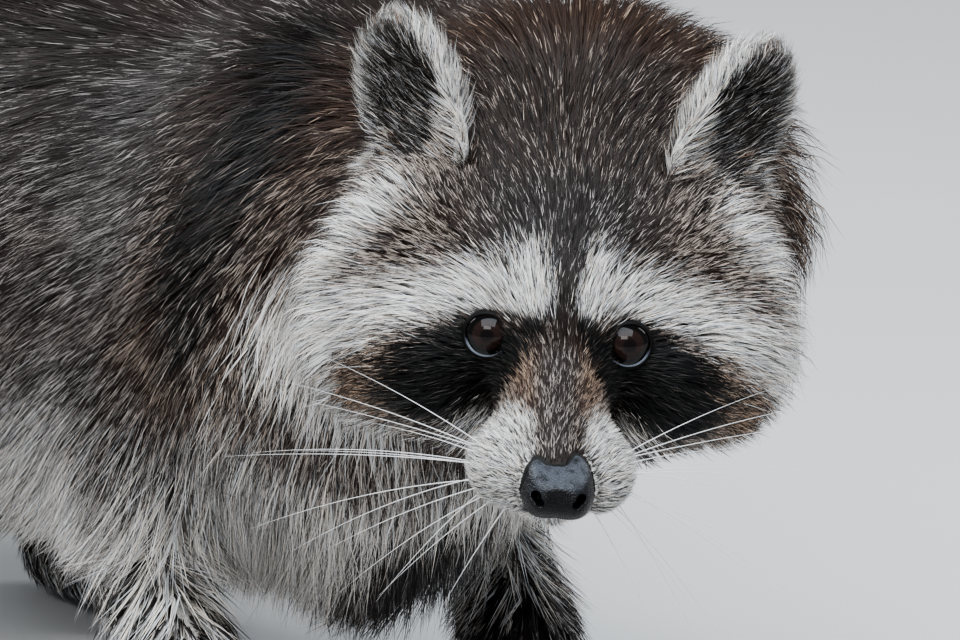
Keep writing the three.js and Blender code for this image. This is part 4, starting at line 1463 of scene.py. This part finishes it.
# ---- Whiskers ----
WHISKER = dict(radius=0.2, bends=16, swept_back=0.12, sag=1.5)
WHISKERS = (
    # root on the pad (out, back, up), length, way out (out, back, up), droop
    ((17, -33, -24), 62, (0.8, 0.5, 0.33), 7),
    ((19, -29, -25), 72, (0.9, 0.42, 0.22), 7),
    ((21, -25, -26), 60, (0.9, 0.45, 0.08), 4),
    ((16, -36, -27), 64, (0.9, 0.35, 0.03), 6),
    ((19, -31, -28.5), 78, (0.93, 0.35, -0.02), 8),
    ((21.5, -26, -30), 72, (0.92, 0.38, -0.12), 9),
    ((15, -38, -30.5), 58, (0.85, 0.3, -0.3), 8),
    ((18, -33, -32), 74, (0.88, 0.3, -0.34), 11),
    ((20.5, -28, -33.5), 66, (0.85, 0.35, -0.45), 10),
    ((14, -38, -34), 50, (0.7, 0.25, -0.62), 7),
    ((17, -33, -36), 58, (0.68, 0.3, -0.7), 9),
    ((19.5, -28, -37.5), 52, (0.6, 0.35, -0.78), 7),
    ((12, -40, -36), 36, (0.5, 0.2, -0.8), 5),
    ((15, -36, -25.5), 46, (0.85, 0.45, 0.15), 5),
    ((36, 3, -14), 34, (0.8, 0.2, -0.1), 4),
)


def whisker_tree():
    """Each open line becomes a tube that thins to its tip."""
    tree = bpy.data.node_groups.new("whisker_tubes", "GeometryNodeTree")
    face = tree.interface
    face.new_socket("Lines", in_out="INPUT", socket_type="NodeSocketGeometry")
    face.new_socket("Radius at root", in_out="INPUT", socket_type="NodeSocketFloat")
    face.new_socket("Material", in_out="INPUT", socket_type="NodeSocketMaterial")
    face.new_socket("Tubes", in_out="OUTPUT", socket_type="NodeSocketGeometry")
    kinds = dict(
        start="NodeGroupInput", curve="GeometryNodeMeshToCurve", along="GeometryNodeSplineParameter",
        thin="ShaderNodeFloatCurve", radius="GeometryNodeSetCurveRadius", times="ShaderNodeMath",
        ring="GeometryNodeCurvePrimitiveCircle", tube="GeometryNodeCurveToMesh",
        smooth="GeometryNodeSetShadeSmooth", real="GeometryNodeRealizeInstances",
        paint="GeometryNodeSetMaterial", end="NodeGroupOutput",
    )
    made = {name: tree.nodes.new(kind) for name, kind in kinds.items()}
    thin = made["thin"].mapping.curves[0]
    thin.points[0].location = (0, 1)
    thin.points[1].location = (1, 0.12)
    made["times"].operation = "MULTIPLY"
    made["ring"].inputs["Resolution"].default_value = 6
    made["ring"].inputs["Radius"].default_value = 1
    made["tube"].inputs["Fill Caps"].default_value = True

    def link(a, b):
        tree.links.new(made[a[0]].outputs[a[1]], made[b[0]].inputs[b[1]])

    link(("start", "Lines"), ("curve", "Mesh"))
    link(("curve", "Curve"), ("radius", "Curve"))
    link(("along", "Factor"), ("thin", "Value"))
    link(("thin", 0), ("times", 0))
    link(("start", "Radius at root"), ("times", 1))
    link(("times", 0), ("radius", "Radius"))
    link(("radius", "Curve"), ("tube", "Curve"))
    link(("ring", "Curve"), ("tube", "Profile Curve"))
    if "Scale" in made["tube"].inputs:
        link(("times", 0), ("tube", "Scale"))
    link(("tube", "Mesh"), ("smooth", 0))
    link(("smooth", 0), ("real", 0))
    link(("real", 0), ("paint", "Geometry"))
    link(("start", "Material"), ("paint", "Material"))
    link(("paint", 0), ("end", 0))
    return tree


def build_whiskers(material):
    """Whiskers on both sides of the muzzle, and one on each cheek."""
    points, edges = [], []
    for side in SIDES:
        for root, length, way, droop in WHISKERS:
            length = length * rng.uniform(0.9, 1.1)
            way = unit(np.array(way) + rng.normal(0, 0.05, 3))
            bend = np.array((0, WHISKER["swept_back"] * length, -WHISKER["sag"] * droop))
            for k in range(WHISKER["bends"] + 1):
                t = k / WHISKER["bends"]
                p = np.array(root) + way * (length * t) + bend * (t * t)
                points.append((side * p[0], p[1], p[2]))
                if k:
                    edges.append((len(points) - 2, len(points) - 1))
    mesh = bpy.data.meshes.new("whiskers")
    mesh.from_pydata([tuple(p) for p in to_world(head.outside(np.array(points)))], edges, [])
    piece = show("whiskers", mesh)
    tree = whisker_tree()
    tubes = piece.modifiers.new("tubes", "NODES")
    tubes.node_group = tree
    inputs = {item.name: item.identifier for item in tree.interface.items_tree if item.in_out == "INPUT"}
    tubes[inputs["Radius at root"]] = WHISKER["radius"] * MM
    tubes[inputs["Material"]] = material
    made_plain(piece)
    return piece


def whisker_material():
    n = Nodes("whisker")
    tone = n.noise(n.place(), 120, 2)
    colour = n.mix(tone, WHISKER_GREY, WHISKER_WHITE)
    return n.finish(Base_Color=colour, Roughness=0.3)


# ---- Assembly ----
def finish_piece(piece, material, slot, *nodes):
    """A piece's material and the nodes that it replaces; its slot is not used."""
    if material:
        piece.data.materials.clear()
        piece.data.materials.append(material)
    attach(piece, "root")
    if nodes:
        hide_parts(*nodes)


skin = build_skin()
store(skin.data, "markings", markings(points_of(skin.data).astype(np.float32)))
fur = coat_material()
for piece in grow_coat(skin.data):
    finish_piece(piece, fur, "grizzled_fur")

flesh = [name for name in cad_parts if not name.startswith(("claw_", "eye_", "nose_pad"))]
finish_piece(skin, skin_material(), "grizzled_fur", *flesh)
finish_piece(build_nose(), nose_material(), "nose", "nose_pad")
eye_finish, lid_finish, horn = eye_material(), lid_material(), claw_material()
for side in SIDES:
    finish_piece(build_eye(side), eye_finish, "eye", "eye_left" if side > 0 else "eye_right")
    finish_piece(build_lids(side), lid_finish, "nose")
for piece, node in build_claws():
    finish_piece(piece, horn, "claw", node)
finish_piece(build_whiskers(whisker_material()), None, "pale_fur")


# ---- Floor, light and camera ----
def build_floor():
    """A wide flat pale floor."""
    half_width, cells = 6, 12
    grid = np.linspace(-half_width, half_width, cells + 1)
    points = np.array([(x, y, 0) for y in grid for x in grid])
    corner = np.array([r * (cells + 1) + c for r in range(cells) for c in range(cells)])
    quads = np.column_stack((corner, corner + 1, corner + cells + 2, corner + cells + 1))
    mesh = mesh_from("floor", points, [quads])
    floor = show("floor", mesh)
    n = Nodes("pale_floor")
    tone = n.noise(n.place(), 3, 3)
    colour = n.mix(tone, FLOOR_GREY, FLOOR_PALE)
    mesh.materials.append(n.finish(Base_Color=colour, Roughness=0.9))
    floor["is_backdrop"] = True


LIT_AT = (0, -0.3, 0.2)
LIGHTS = (
    # name, place, size, watts, colour
    ("sky", (-0.6, -1.1, 2.3), (2.8, 1.5), 92, (0.86, 0.93, 1.0)),
    ("front", (-1.9, -2.3, 2.4), (2.0, 1.0), 66, (1.0, 0.98, 0.96)),
    ("side", (1.7, -0.4, 1.3), (0.9, 0.9), 14, (0.95, 0.98, 1.0)),
    ("back", (-0.9, 2.0, 1.9), (1.6, 1.0), 52, (0.95, 0.98, 1.0)),
)
DAYLIGHT = dict(colour=(0.75, 0.8, 0.88, 1), strength=0.42)
# The camera's angles in degrees, its distance and the aim's shift from the face in metres, its lens in mm
CAMERA = dict(azimuth=-33, elevation=14, distance=1.8, aim=(-0.02325, 0.00675), lens=225, sensor=36)


def area_light(name, at, size, power, colour):
    """A soft rectangular light that points at the animal."""
    data = bpy.data.lights.new(name, "AREA")
    data.shape = "RECTANGLE"
    data.size, data.size_y = size
    data.energy = power
    data.color = colour
    light = bpy.data.objects.new(name, data)
    light.location = at
    light.rotation_euler = (Vector(LIT_AT) - Vector(at)).to_track_quat("-Z", "Y").to_euler()
    bpy.context.scene.collection.objects.link(light)


def build_world():
    world = bpy.data.worlds.new("studio")
    world.use_nodes = True
    background = world.node_tree.nodes["Background"]
    background.inputs[0].default_value = DAYLIGHT["colour"]
    background.inputs[1].default_value = DAYLIGHT["strength"]
    bpy.context.scene.world = world
    bpy.context.scene.view_settings.look = "AgX - Medium High Contrast"


def build_camera():
    """A long lens that looks at the face from a little above."""
    azimuth, elevation = math.radians(CAMERA["azimuth"]), math.radians(CAMERA["elevation"])
    level = math.cos(elevation)
    towards = np.array((math.sin(azimuth) * level, -math.cos(azimuth) * level, math.sin(elevation)))
    right = np.array((math.cos(azimuth), math.sin(azimuth), 0))
    up = np.cross(towards, right)
    aim_at = to_world(head.outside((0, 0, 0))) + right * CAMERA["aim"][0] + up * CAMERA["aim"][1]
    data = bpy.data.cameras.new("camera")
    data.lens = CAMERA["lens"]
    data.sensor_width = CAMERA["sensor"]
    camera = bpy.data.objects.new("camera", data)
    camera.location = aim_at + towards * CAMERA["distance"]
    camera.rotation_euler = Vector(towards).to_track_quat("Z", "Y").to_euler()
    bpy.context.scene.collection.objects.link(camera)
    bpy.context.scene.camera = camera


build_floor()
for light in LIGHTS:
    area_light(*light)
build_world()
build_camera()

[[list(map(float, corner)) for corner in box] for box in (CAD_BOX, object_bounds())]
